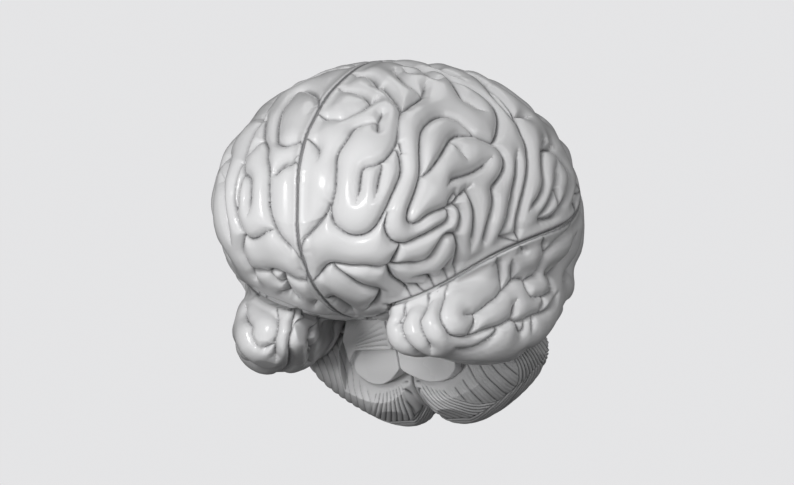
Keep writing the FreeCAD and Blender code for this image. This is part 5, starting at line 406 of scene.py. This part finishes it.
class Net:
    """Neighbour averages over the edges of a mesh."""

    def __init__(self, n, edges):
        a = np.concatenate([edges[:, 0], edges[:, 1]])
        b = np.concatenate([edges[:, 1], edges[:, 0]])
        order = np.argsort(a, kind="stable")
        self.n, self.to = n, b[order]
        self.count = np.bincount(a, minlength=n).astype(float)
        self.start = np.r_[0, np.cumsum(self.count[:-1])].astype(int)
        self.count[self.count == 0] = 1

    def mean(self, x):
        s = np.add.reduceat(x[self.to], self.start, axis=0)
        return s / (self.count[:, None] if x.ndim == 2 else self.count)

    def smooth(self, x, times, share=0.5):
        for _ in range(times):
            x = x + share * (self.mean(x) - x)
        return x


def normals_of(v, quads):
    a, b, c, d = (v[quads[:, k]] for k in range(4))
    n = np.cross(c - a, d - b)
    out = np.zeros_like(v)
    for k in range(4):
        for j in range(3):
            out[:, j] += np.bincount(quads[:, k], weights=n[:, j], minlength=len(v))
    return out / np.maximum(np.linalg.norm(out, axis=1), 1e-12)[:, None]


def ramp(x, a, b):
    t = np.clip((x - a) / (b - a), 0, 1)
    return t * t * (3 - 2 * t)


def tree_of(points):
    t = kdtree.KDTree(len(points))
    for i, p in enumerate(points):
        t.insert(p, i)
    t.balance()
    return t


def waves(p, seed, size, count=7):
    """A soft, seeded, solid ripple of about that size, from -1 to 1."""
    rng = np.random.default_rng(seed)
    out = np.zeros(len(p))
    for _ in range(count):
        d = rng.normal(size=3)
        d /= np.linalg.norm(d)
        out += np.sin(p @ d * (2 * math.pi / (size * rng.uniform(0.7, 1.5))) + rng.uniform(0, 6.3))
    return out / (count ** 0.5 * 0.9)


# ---------------------------------------------------------------- folds of the cortex
# each fold falls away gently over WIDE_R, and turns down steeply into the cut over the last CUT_R
WIDE_R, WIDE_H, CUT_R, CUT_H = 9.0, 2.3, 3.8, 3.5


def carve(v, n, lines, spacing):
    """How deep each point lies under the crown of its fold, from 0 on the crown to 1 in the groove, and points
    that lie on a groove's course moved exactly onto it."""
    drop = np.zeros(len(v))
    wide = np.zeros(len(v))
    best = np.full(len(v), 1e9)
    snap = v.copy()
    tree = tree_of(v)
    for flat in lines:
        row = np.array(flat, float).reshape(-1, 4)
        pts, wts = row[:, :3] * 0.1, row[:, 3] * 0.01
        # the course is laid on the surface
        on, nn = [], []
        for p in pts:
            co, i, _ = tree.find(p)
            on.append(p - n[i] * np.dot(p - v[i], n[i]))
            nn.append(n[i])
        on, nn = np.array(on), np.array(nn)
        for a, b, wa, wb, na, nb in zip(on, on[1:], wts, wts[1:], nn, nn[1:]):
            length = float(np.linalg.norm(b - a))
            if length < 1e-6:
                continue
            near = [x[1] for x in tree.find_range((a + b) / 2, WIDE_R + length / 2)]
            if not near:
                continue
            near = np.array(near)
            q = v[near]
            t = np.clip(((q - a) @ (b - a)) / length ** 2, 0, 1)
            foot = a + t[:, None] * (b - a)
            off = q - foot
            nrm = na + nb
            nrm = nrm / np.linalg.norm(nrm)
            # distance along the surface, so a point right under the course counts as on it
            flatoff = off - (off @ nrm)[:, None] * nrm
            d = np.linalg.norm(flatoff, axis=1)
            deep = np.abs(off @ nrm)
            same = ramp(n[near] @ nrm, 0.05, 0.45) * (1 - ramp(deep, 2.5, 5.0))
            w = (wa + t * (wb - wa)) * same
            # a fainter groove is also narrower
            r = CUT_R * (0.5 + 0.5 * np.clip(w, 0, 1))
            h = w * (1 - np.sqrt(np.clip(1 - (1 - np.minimum(d / np.maximum(r, 1e-6), 1)) ** 2, 0, 1)))
            better = h > drop[near]
            drop[near[better]] = h[better]
            h = w * (1 - np.sin(np.minimum(d / WIDE_R, 1) * (math.pi / 2)))
            better = h > wide[near]
            wide[near[better]] = h[better]
            close = (d < spacing * 0.55) & (d < best[near]) & (same > 0.9) & (w > 0.12)
            k = near[close]
            best[k] = d[close]
            snap[k] = v[k] - flatoff[close]
    return drop, wide, snap


def finish_mesh(name, v, quads, attrs, cap, material, body):
    """The level arrays as a Blender piece at rest."""
    me = bpy.data.meshes.new(name)
    co = to_rest(v).astype(np.float32)
    me.vertices.add(len(co))
    me.vertices.foreach_set("co", co.ravel())
    me.loops.add(quads.size)
    me.loops.foreach_set("vertex_index", quads.ravel().astype(np.int32))
    me.polygons.add(len(quads))
    me.polygons.foreach_set("loop_start", np.arange(0, quads.size, 4, dtype=np.int32))
    me.update(calc_edges=True)
    me.validate()
    for key, val in attrs.items():
        a = me.attributes.new(key, "FLOAT", "POINT")
        a.data.foreach_set("value", val.astype(np.float32))
    ob = bpy.data.objects.new(name, me)
    bpy.context.scene.collection.objects.link(ob)
    tris = len(quads) * 2
    if tris > cap:
        m = ob.modifiers.new("less", "DECIMATE")
        m.ratio = cap / tris
        dg = bpy.context.evaluated_depsgraph_get()
        new = bpy.data.meshes.new_from_object(ob.evaluated_get(dg), preserve_all_data_layers=True, depsgraph=dg)
        ob.modifiers.clear()
        ob.data = new
        new.name = name
    ob.data.polygons.foreach_set("use_smooth", np.ones(len(ob.data.polygons), bool))
    ob.data.materials.clear()
    ob.data.materials.append(material)
    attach(ob, body)
    return ob


def project(v, tree, reach=1.5):
    """Points laid back on the exact surface."""
    out = v.copy()
    for i, p in enumerate(v):
        q = tree.find_nearest(p, reach)[0]
        if q is not None:
            out[i] = q
    return out


def gap_to(v, tree, reach):
    out = np.full(len(v), reach)
    for i, p in enumerate(v):
        d = tree.find_nearest(p, reach)[3]
        if d is not None:
            out[i] = d
    return out


def side_trees(side, without):
    vs, fs, off = [], [], 0
    for part in ("frontoparietal_lobe", "temporo_occipital_lobe", "brainstem_half", "cerebellum_half"):
        name = f"{side}_{part}"
        if name != without:
            v, f = CAD[name]
            vs.append(v)
            fs.append(f + off)
            off += len(v)
    return BVHTree.FromPolygons(np.vstack(vs).tolist(), np.vstack(fs).tolist())


CAD = {name: cad_mesh(name) for name in BODY_OF}


def even_piece(name, size, reach, round_in, ease=0.0):
    """An even mesh of a CAD piece with the rims of its joint faces rounded over, and what is known of each point."""
    side = name.split("_")[0]
    cv, cf = CAD[name]
    v, quads, edges = voxel_mesh(cv, cf, size)
    v = project(v, BVHTree.FromPolygons(cv.tolist(), cf.tolist()))
    net = Net(len(v), edges)
    joint = (gap_to(v, side_trees(side, name), 3.0) < reach) | (np.abs(v[:, 0]) < 0.35)
    a, b = edges[:, 0], edges[:, 1]
    cross = joint[a] != joint[b]
    rim = np.zeros(len(v), bool)
    rim[a[cross]] = True
    rim[b[cross]] = True
    rt = tree_of(v[rim])
    rd = np.full(len(v), 99.0)
    lo, hi = v[rim].min(0) - 9, v[rim].max(0) + 9
    for i in np.flatnonzero(((v > lo) & (v < hi)).all(1)):
        rd[i] = rt.find(v[i])[2]
    # the distance from the rim runs through zero smoothly, which keeps a seam's edge from stepping with the mesh
    signed = net.smooth(np.where(joint, -1.0, 1.0) * (rd + 0.35 * size), 4)
    rd = np.maximum(np.where(joint, -signed, signed), 0.0)
    soft = 1 - ramp(rd, 0.35 * round_in, round_in)
    for _ in range(int(0.75 * round_in ** 2 / size ** 2)):
        v = v + (0.5 * soft)[:, None] * (net.mean(v) - v)
    if ease:
        # where two rounded forms of the CAD meet in an open edge, the surface is eased over
        raw = normals_of(v, quads)
        near = net.mean(raw)
        near /= np.maximum(np.linalg.norm(near, axis=1), 1e-9)[:, None]
        sharp = ((raw * near).sum(1) < 0.997) & ~joint & (rd > 3.0)
        if sharp.any():
            st = tree_of(v[sharp])
            away = np.full(len(v), 99.0)
            lo, hi = v[sharp].min(0) - ease, v[sharp].max(0) + ease
            for i in np.flatnonzero(~joint & ((v > lo) & (v < hi)).all(1)):
                away[i] = st.find(v[i])[2]
            soft = (1 - ramp(away, 2.0, ease)) * ramp(rd, 0.8, 3.5)
            k = np.flatnonzero(soft > 0)
            count = net.count[k].astype(int)
            first = np.cumsum(count) - count
            to = net.to[np.repeat(net.start[k] - first, count) + np.arange(count.sum())]
            for _ in range(int(50.0 / size ** 2)):
                v[k] += (0.5 * soft[k])[:, None] * (np.add.reduceat(v[to], first, axis=0) / count[:, None] - v[k])
    n = net.smooth(normals_of(v, quads), max(2, int(1.2 / size)))
    n /= np.maximum(np.linalg.norm(n, axis=1), 1e-9)[:, None]
    return v, quads, net, n, joint, rd


def keep_off_floor(v):
    v[:, 2] = np.maximum(v[:, 2], (-MOVE[2] - SP * v[:, 1]) / CP)
    return v


def lobe(name, size, cap, material):
    v, quads, net, n, joint, rd = even_piece(name, size, 0.9, 2.4, 7.0)
    drop, wide, snap = carve(v, n, CREASES[name], size)
    v = np.where(joint[:, None], v, snap)
    # a seam between two pieces is a cut like any other: the folds beside it turn down into it
    edge = np.where(joint, 0.0, rd)
    drop = np.maximum(drop, 0.85 * (1 - np.sqrt(np.clip(1 - (1 - np.minimum(edge / CUT_R, 1)) ** 2, 0, 1))))
    wide = np.maximum(wide, 0.85 * (1 - np.sin(np.minimum(edge / WIDE_R, 1) * (math.pi / 2))))
    # the crowns are rounded over while the cuts between them stay crisp
    wide = net.smooth(wide, int(8.0 / size ** 2))
    free = np.where(joint, 0.0, 1.0)
    swell = 0.6 * ramp(rd, 1.5, 9.0) * free * (1 + 0.8 * waves(v, 5 if name[0] == "l" else 6, 34))
    # the strip of the joint face along a seam follows its rim, so that it stays under it
    fall = CUT_H * drop + WIDE_H * wide
    fall = np.where(joint, fall * np.clip(1 - rd / 8.5, 0, 1), fall)
    way, face = n.copy(), n.copy()
    hold, hold_face = (~joint & (rd > 2.2))[:, None], (joint & (rd > 2.2))[:, None]
    for _ in range(int(16.0 / size)):
        way = np.where(hold, n, net.mean(way))
        face = np.where(hold_face, n, net.mean(face))
    way /= np.maximum(np.linalg.norm(way, axis=1), 1e-9)[:, None]
    face /= np.maximum(np.linalg.norm(face, axis=1), 1e-9)[:, None]
    # beside a seam everything slides along the joint face, which keeps the seam closed
    along = np.where(joint, 1.0, 1 - ramp(rd, 1.0, 5.0))
    way = way - (along * (way * face).sum(1))[:, None] * face
    v = keep_off_floor(v + n * swell[:, None] - way * fall[:, None])
    # painted shade: the groove attribute darkens each crease and the cut beside a seam, fading out over the joint face
    outer = np.where(joint, np.clip(1 - rd / 1.5, 0, 1), 1.0)
    ob = finish_mesh(name.replace("_lobe", "_cortex"), v, quads, {"groove": drop * outer}, cap, material, BODY_OF[name])
    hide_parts(name)
    return ob


# ---------------------------------------------------------------- leaves of the cerebellum
def leaf(phase, sharp=0.55):
    """Height of a row of rounded leaves, 1 on each crown and 0 in the cut between two."""
    return np.abs(np.sin(math.pi * phase)) ** sharp


def cerebellum(name, size, cap, material):
    v, quads, net, n, joint, rd = even_piece(name, size, 0.9, 3.0)
    sx = 1.0 if name[0] == "l" else -1.0
    q = v * [sx, 1, 1]
    nq = n * [sx, 1, 1]
    # the leaves of the front are laid out on a plane square to this direction
    a, e = math.radians(25), math.radians(-8)
    b = np.array([math.sin(a) * math.cos(e), -math.cos(a) * math.cos(e), math.sin(e)])
    r = np.cross(-b, [0, 0, 1])
    r /= np.linalg.norm(r)
    u = np.cross(r, -b)
    wob = waves(q, 21 if sx > 0 else 22, 17)
    X, Y = q @ r + 0.22 * wob, q @ u + 0.18 * waves(q, 31 if sx > 0 else 32, 15)
    # two families of leaves in front: nested bows near the middle, and wide bows above and outside them
    bow = np.hypot(X - 45.4, (Y + 49.4) / 0.74)
    far = np.hypot(X - 74.0, Y + 29.8)
    near_rows = leaf(bow / 1.45, 0.7)
    wide_rows = 0.68 * leaf(far / 4.6 + 0.1 * wob, 0.45) + 0.32 * leaf(far / 1.53 + 0.12 * wob, 0.8)
    blend = ramp(bow, 16.0, 18.0)
    front = blend * near_rows + (1 - blend) * wide_rows
    if sx < 0:
        # the right half's front carries a comb of leaves fanning down from beside the brainstem, and broad ones outside
        X, Y = v @ r, v @ u
        fan = np.arctan2(X - 6.8, -(Y + 40.4))
        comb = leaf(fan / 0.082 + 0.12 * wob, 0.65)
        outer = leaf((X + 0.25 * Y + 0.5 * wob) / 2.6, 0.5)
        share = ramp(X, -1.5, 4.0) * ramp(np.hypot(X - 6.8, Y + 40.4), 8.0, 11.0)
        front = share * comb + (1 - share) * (0.25 + 0.75 * outer)
    # behind, they run across from side to side, gathered into lobules
    turn = np.arctan2(q[:, 2] + 36.0, q[:, 1] - 44.0)
    arc = turn * 23.0
    rear_rows = leaf(arc / 1.7 + 0.18 * wob, 0.65)
    lobule = np.abs((arc / 9.5 + 0.12 * wob) % 1 - 0.5) * 9.5
    cut = 59.0 + 1.2 * wob + 0.06 * (q[:, 2] + 50)
    back = ramp(q[:, 1] - cut, -0.5, 0.5)
    rows = front * (1 - back) + rear_rows * back
    groove = back * np.clip(1 - lobule / 1.0, 0, 1)
    groove = np.maximum(groove, 0.6 * np.clip(1 - np.abs(q[:, 1] - cut) / 1.2, 0, 1))
    free = np.where(joint, 0.0, 1.0) * ramp(rd, 0.2, 2.0)
    # the wedge beside the midline in front is smooth above, with a few short lumps under it
    mid = (1 - ramp(q[:, 0], 3.0, 6.0)) * (1 - back)
    lumps = np.maximum(leaf((q[:, 2] + 0.35 * q[:, 1]) / 3.3 + 0.2, 0.7), ramp(q[:, 2], -48.5, -46.5))
    rows = rows * (1 - mid) + lumps * mid
    fall = (0.95 * (1 - back) + 0.72 * back) * (1 - rows) + 0.55 * groove
    v = keep_off_floor(v + n * (0.25 * free - fall * free)[:, None])
    # painted shade: the groove attribute darkens the cuts between the leaves and lobules
    ob = finish_mesh(name.replace("_half", "_leaves"), v, quads, {"groove": np.clip(fall * free * 1.05, 0, 1)}, cap, material, BODY_OF[name])
    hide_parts(name)
    return ob


# ---------------------------------------------------------------- brainstem
def stem(name, size, cap, material):
    v, quads, net, n, joint, rd = even_piece(name, size, 0.9, 1.4)
    sx = 1.0 if name[0] == "l" else -1.0
    q = v * [sx, 1, 1]
    wob = waves(q, 41, 21)
    free = np.where(joint, 0.0, 1.0) * ramp(rd, 0.2, 2.0)
    # the underside is drawn up a little, and the cut face lies back under the swell of the pons, steeper than the joint
    # below it and turned a little outward, with a crisp upper edge
    v = v + np.outer(2.2 * ramp(-v[:, 2], 43.0, 52.0), [0, 0, 1])
    out = np.array([0.0, -0.763, -0.646])
    depth = (v - [0, 24.0, -38.0]) @ out
    x = np.abs(q[:, 0])
    top = -37.4 - 4.5 * np.clip((x - 18.0) / 5.5, 0, 1) ** 2.0
    swell = ramp(q[:, 2] - top, -0.2, 1.4)
    down = -(q[:, 2] + 44.0) / 0.763
    push = swell * 1.9 * (1 - ramp(q[:, 2], -33.0, -19.0)) + (1 - swell) * (-1.2 - 0.22 * (np.minimum(x, 18.0) - 10.0) + 0.28 * down)
    v = v + np.outer(push * np.clip(1 + depth / 8.0, 0, 1), out)
    # the bands of the pons cross the front above it, gathered at the outer end
    a, e = math.radians(25), math.radians(-8)
    b = np.array([math.sin(a) * math.cos(e), -math.cos(a) * math.cos(e), math.sin(e)])
    r = np.cross(-b, [0, 0, 1])
    r /= np.linalg.norm(r)
    u = np.cross(r, -b)
    m = v * [-sx, 1, 1]
    X, Y = m @ r + 15.0, m @ u + 42.3
    far = np.hypot(X, Y)
    turn = np.arctan2(Y - 0.010 * X * (28 - X), X)
    bands = leaf(turn / 0.118 + 0.12 * wob, 0.5)
    where = ramp(-n[:, 1] + 0.7 * ramp(x, 12, 20), 0.1, 0.4) * swell * ramp(far, 6.0, 9.0) * (1 - 0.75 * ramp(turn, 0.3, 0.75))
    where = where * (1 - ramp(v[:, 2], -22, -12))
    fall = 0.95 * (1 - bands) * where
    v = keep_off_floor(v + n * (-fall * free)[:, None])
    # painted shade: the groove attribute darkens the cuts between the bands of the pons
    ob = finish_mesh(name.replace("_half", "_form"), v, quads, {"groove": np.clip(fall * free * 0.8, 0, 1)}, cap, material, BODY_OF[name])
    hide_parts(name)
    return ob


# ---------------------------------------------------------------- materials
# grey plastic with painted shade: the groove colour is painted into the creases, cuts and bands that each piece marks
# in its groove attribute, standing in for the shade that falls in them
def plastic(name, base, groove, rough, grain=0.03):
    m = bpy.data.materials.new(name)
    m.use_nodes = True
    nt = m.node_tree
    bsdf = next(x for x in nt.nodes if x.type == "BSDF_PRINCIPLED")
    tex = nt.nodes.new("ShaderNodeTexCoord")
    big = nt.nodes.new("ShaderNodeTexNoise")
    big.inputs["Scale"].default_value = 26.0
    big.inputs["Detail"].default_value = 3.0
    nt.links.new(tex.outputs["Object"], big.inputs["Vector"])
    fine = nt.nodes.new("ShaderNodeTexNoise")
    fine.inputs["Scale"].default_value = 900.0
    fine.inputs["Detail"].default_value = 2.0
    nt.links.new(tex.outputs["Object"], fine.inputs["Vector"])
    tint = nt.nodes.new("ShaderNodeMix")
    tint.data_type = "RGBA"
    tint.inputs["A"].default_value = (*[c * 0.955 for c in base], 1)
    tint.inputs["B"].default_value = (*[min(1, c * 1.04) for c in base], 1)
    nt.links.new(big.outputs["Fac"], tint.inputs["Factor"])
    # painted shade: the groove attribute mixes the plastic towards the dark groove colour in the creases
    at = nt.nodes.new("ShaderNodeAttribute")
    at.attribute_name = "groove"
    groove_shade_ramp = nt.nodes.new("ShaderNodeMapRange")
    groove_shade_ramp.interpolation_type = "SMOOTHSTEP"
    groove_shade_ramp.inputs["From Min"].default_value = 0.22
    groove_shade_ramp.inputs["From Max"].default_value = 0.85
    nt.links.new(at.outputs["Fac"], groove_shade_ramp.inputs["Value"])
    painted_groove_shade = nt.nodes.new("ShaderNodeMix")
    painted_groove_shade.data_type = "RGBA"
    nt.links.new(groove_shade_ramp.outputs["Result"], painted_groove_shade.inputs["Factor"])
    nt.links.new(tint.outputs["Result"], painted_groove_shade.inputs["A"])
    painted_groove_shade.inputs["B"].default_value = (*groove, 1)
    nt.links.new(painted_groove_shade.outputs["Result"], bsdf.inputs["Base Color"])
    rr = nt.nodes.new("ShaderNodeMapRange")
    rr.inputs["To Min"].default_value = rough - 0.03
    rr.inputs["To Max"].default_value = rough + 0.05
    nt.links.new(big.outputs["Fac"], rr.inputs["Value"])
    nt.links.new(rr.outputs["Result"], bsdf.inputs["Roughness"])
    bump = nt.nodes.new("ShaderNodeBump")
    bump.inputs["Strength"].default_value = grain
    bump.inputs["Distance"].default_value = 0.0002
    nt.links.new(fine.outputs["Fac"], bump.inputs["Height"])
    nt.links.new(bump.outputs["Normal"], bsdf.inputs["Normal"])
    bsdf.inputs["IOR"].default_value = 1.47
    return m


def steel(name, tone, rough, turned, wear):
    """Bare metal: turned marks round the pin's length or a satin plating, with fine wear."""
    m = bpy.data.materials.new(name)
    m.use_nodes = True
    nt = m.node_tree
    bsdf = next(x for x in nt.nodes if x.type == "BSDF_PRINCIPLED")
    bsdf.inputs["Metallic"].default_value = 1.0
    tex = nt.nodes.new("ShaderNodeTexCoord")
    shape = nt.nodes.new("ShaderNodeMapping")
    shape.inputs["Scale"].default_value = turned
    nt.links.new(tex.outputs["Object"], shape.inputs["Vector"])
    marks = nt.nodes.new("ShaderNodeTexNoise")
    marks.inputs["Scale"].default_value = 600.0
    marks.inputs["Detail"].default_value = 4.0
    nt.links.new(shape.outputs["Vector"], marks.inputs["Vector"])
    cloud = nt.nodes.new("ShaderNodeTexNoise")
    cloud.inputs["Scale"].default_value = 140.0
    cloud.inputs["Detail"].default_value = 3.0
    nt.links.new(tex.outputs["Object"], cloud.inputs["Vector"])
    tint = nt.nodes.new("ShaderNodeMix")
    tint.data_type = "RGBA"
    tint.inputs["A"].default_value = (*[c * (1 - wear) for c in tone], 1)
    tint.inputs["B"].default_value = (*tone, 1)
    nt.links.new(cloud.outputs["Fac"], tint.inputs["Factor"])
    nt.links.new(tint.outputs["Result"], bsdf.inputs["Base Color"])
    rr = nt.nodes.new("ShaderNodeMapRange")
    rr.inputs["To Min"].default_value = rough - 0.08
    rr.inputs["To Max"].default_value = rough + 0.10
    nt.links.new(marks.outputs["Fac"], rr.inputs["Value"])
    nt.links.new(rr.outputs["Result"], bsdf.inputs["Roughness"])
    bump = nt.nodes.new("ShaderNodeBump")
    bump.inputs["Strength"].default_value = 0.25
    bump.inputs["Distance"].default_value = 0.00005
    nt.links.new(marks.outputs["Fac"], bump.inputs["Height"])
    nt.links.new(bump.outputs["Normal"], bsdf.inputs["Normal"])
    return m


GREY = (0.60, 0.60, 0.605)
# the second colour of each plastic is the painted shade laid into its grooves
CORTEX = plastic("cortex_plastic_with_painted_groove_shade", GREY, (0.16, 0.16, 0.165), 0.22)
# painted light: the brainstem is a lighter copy of the same grey plastic, lit up to stand in for light that its shaded
# place under the lobes does not get
STEM_PAINTED_LIGHTER = plastic("brainstem_plastic_painted_lighter", (0.76, 0.76, 0.765), (0.22, 0.22, 0.225), 0.25)
LEAF = plastic("cerebellum_plastic_with_painted_groove_shade", (0.56, 0.56, 0.565), (0.17, 0.17, 0.175), 0.3)

for name in BODY_OF:
    if "lobe" in name:
        lobe(name, 0.55, 160000 if "parietal" in name else 110000, CORTEX)
    elif "cerebellum" in name:
        cerebellum(name, 0.36, 150000, LEAF)
    else:
        stem(name, 0.5, 40000, STEM_PAINTED_LIGHTER)

PINS = {
    "across": steel("turned_steel_across", (0.62, 0.62, 0.63), 0.30, (6.0, 1.0, 1.0), 0.22),
    "down": steel("turned_steel_down", (0.62, 0.62, 0.63), 0.30, (1.0, 1.0, 6.0), 0.22),
    "back": steel("turned_steel_back", (0.62, 0.62, 0.63), 0.30, (1.0, 6.0, 1.0), 0.22),
}
PLATE = steel("nickel_plating", (0.70, 0.69, 0.66), 0.22, (1.0, 1.0, 1.0), 0.12)
for name, ob in nodes.items():
    if name not in BODY_OF:
        ob.data.materials.clear()
        way = "down" if "brainstem" in name else "back" if "cerebellum" in name else "across"
        ob.data.materials.append(PLATE if "magnet" in name else PINS[way])

# ---------------------------------------------------------------- stage, light and camera
def stage_plane():
    me = bpy.data.meshes.new("floor")
    s, z = 3.0, -0.0002
    me.from_pydata([(-s, -s, z), (s, -s, z), (s, s, z), (-s, s, z)], [], [(0, 1, 2, 3)])
    ob = bpy.data.objects.new("floor", me)
    bpy.context.scene.collection.objects.link(ob)
    m = bpy.data.materials.new("floor_look")
    m.use_nodes = True
    b = next(x for x in m.node_tree.nodes if x.type == "BSDF_PRINCIPLED")
    b.inputs["Base Color"].default_value = (0.62, 0.62, 0.625, 1)
    b.inputs["Roughness"].default_value = 0.75
    # an even glow keeps the floor pale all the way out, past the reach of the lights
    b.inputs["Emission Color"].default_value = (0.9, 0.9, 0.91, 1)
    b.inputs["Emission Strength"].default_value = 0.30
    # the photo looks up at the model from a little below it, so the floor is one-sided: its underside isn't there
    nt = m.node_tree
    geo = nt.nodes.new("ShaderNodeNewGeometry")
    clear = nt.nodes.new("ShaderNodeBsdfTransparent")
    pick = nt.nodes.new("ShaderNodeMixShader")
    nt.links.new(geo.outputs["Backfacing"], pick.inputs["Fac"])
    nt.links.new(b.outputs["BSDF"], pick.inputs[1])
    nt.links.new(clear.outputs["BSDF"], pick.inputs[2])
    nt.links.new(pick.outputs["Shader"], next(x for x in nt.nodes if x.type == "OUTPUT_MATERIAL").inputs["Surface"])
    me.materials.append(m)
    # it takes shadows, and lets the even light of the room reach the underside of the model
    ob.visible_diffuse = ob.visible_glossy = ob.visible_transmission = ob.visible_shadow = False


stage_plane()
world = bpy.data.worlds.new("world")
bpy.context.scene.world = world
world.use_nodes = True
bg = next(x for x in world.node_tree.nodes if x.type == "BACKGROUND")
bg.inputs["Color"].default_value = (0.9, 0.9, 0.91, 1)
bg.inputs["Strength"].default_value = 0.10
wn = world.node_tree
seen = wn.nodes.new("ShaderNodeBackground")
seen.inputs["Color"].default_value = (0.78, 0.78, 0.79, 1)
seen.inputs["Strength"].default_value = 1.0
ray = wn.nodes.new("ShaderNodeLightPath")
both = wn.nodes.new("ShaderNodeMixShader")
wn.links.new(ray.outputs["Is Camera Ray"], both.inputs["Fac"])
wn.links.new(bg.outputs["Background"], both.inputs[1])
wn.links.new(seen.outputs["Background"], both.inputs[2])
wn.links.new(both.outputs["Shader"], next(x for x in wn.nodes if x.type == "OUTPUT_WORLD").inputs["Surface"])


def area(name, where, aim, size, power, mirrored=True):
    d = bpy.data.lights.new(name, "AREA")
    d.shape, d.size, d.energy = "DISK", size, power
    o = bpy.data.objects.new(name, d)
    bpy.context.scene.collection.objects.link(o)
    o.location = where
    o.rotation_mode = "QUATERNION"
    o.rotation_quaternion = (Vector(aim) - Vector(where)).to_track_quat("-Z", "Y")
    o.visible_glossy = mirrored


AZ, EL, RO = math.radians(25.0), math.radians(-8.0), math.radians(1.0)
back = np.array([math.sin(AZ) * math.cos(EL), -math.cos(AZ) * math.cos(EL), math.sin(EL)])
right = np.cross(-back, [0, 0, 1])
right /= np.linalg.norm(right)
up = np.cross(right, -back)
right, up = math.cos(RO) * right + math.sin(RO) * up, -math.sin(RO) * right + math.cos(RO) * up
right, up, back = (TURN @ k for k in (right, up, back))
mid = to_rest(np.array([0.0, 0, 0]))
aim = (mid[0], mid[1], 0.07)


def seen_from(x, y, z):
    """a place given as right, up and towards the viewer, in metres from the middle"""
    return tuple(np.array(aim) + right * x + up * y + back * z)


area("key", seen_from(-0.42, 0.50, 1.05), aim, 0.15, 5.0)
area("front", seen_from(-0.32, 0.38, 1.25), aim, 0.30, 5.7, False)
area("level", seen_from(-0.20, 0.02, 1.34), aim, 0.25, 2.2, False)
area("side", seen_from(-0.85, -0.14, 0.98), aim, 0.30, 5.2, False)
area("fill", seen_from(0.95, 0.30, 0.75), aim, 0.8, 2.8)
area("glint", seen_from(0.42, 0.30, 1.15), aim, 0.12, 1.2)
area("top", (0.0, 0.15, 1.25), aim, 0.7, 2.0)
area("rear", (-0.30, 1.25, 0.50), aim, 0.7, 11.0, False)

cam = bpy.data.cameras.new("camera")
cam.type = "ORTHO"
PX = 2.36
cam.ortho_scale = 794 / PX * 0.001
cam.clip_start, cam.clip_end = 0.01, 20
co = bpy.data.objects.new("camera", cam)
bpy.context.scene.collection.objects.link(co)
level_r, level_u, level_b = (TURN.T @ k for k in (right, up, back))
spot = to_rest(level_r * ((397 - 372.9) / PX) + level_u * (-(242.5 - 255.6) / PX) + level_b * 900.0)
m = Matrix.Identity(4)
for k, axis in enumerate((right, up, back)):
    for j in range(3):
        m[j][k] = axis[j]
m.translation = Vector(spot)
co.matrix_world = m
bpy.context.scene.camera = co
bpy.context.scene.view_settings.view_transform = "Standard"
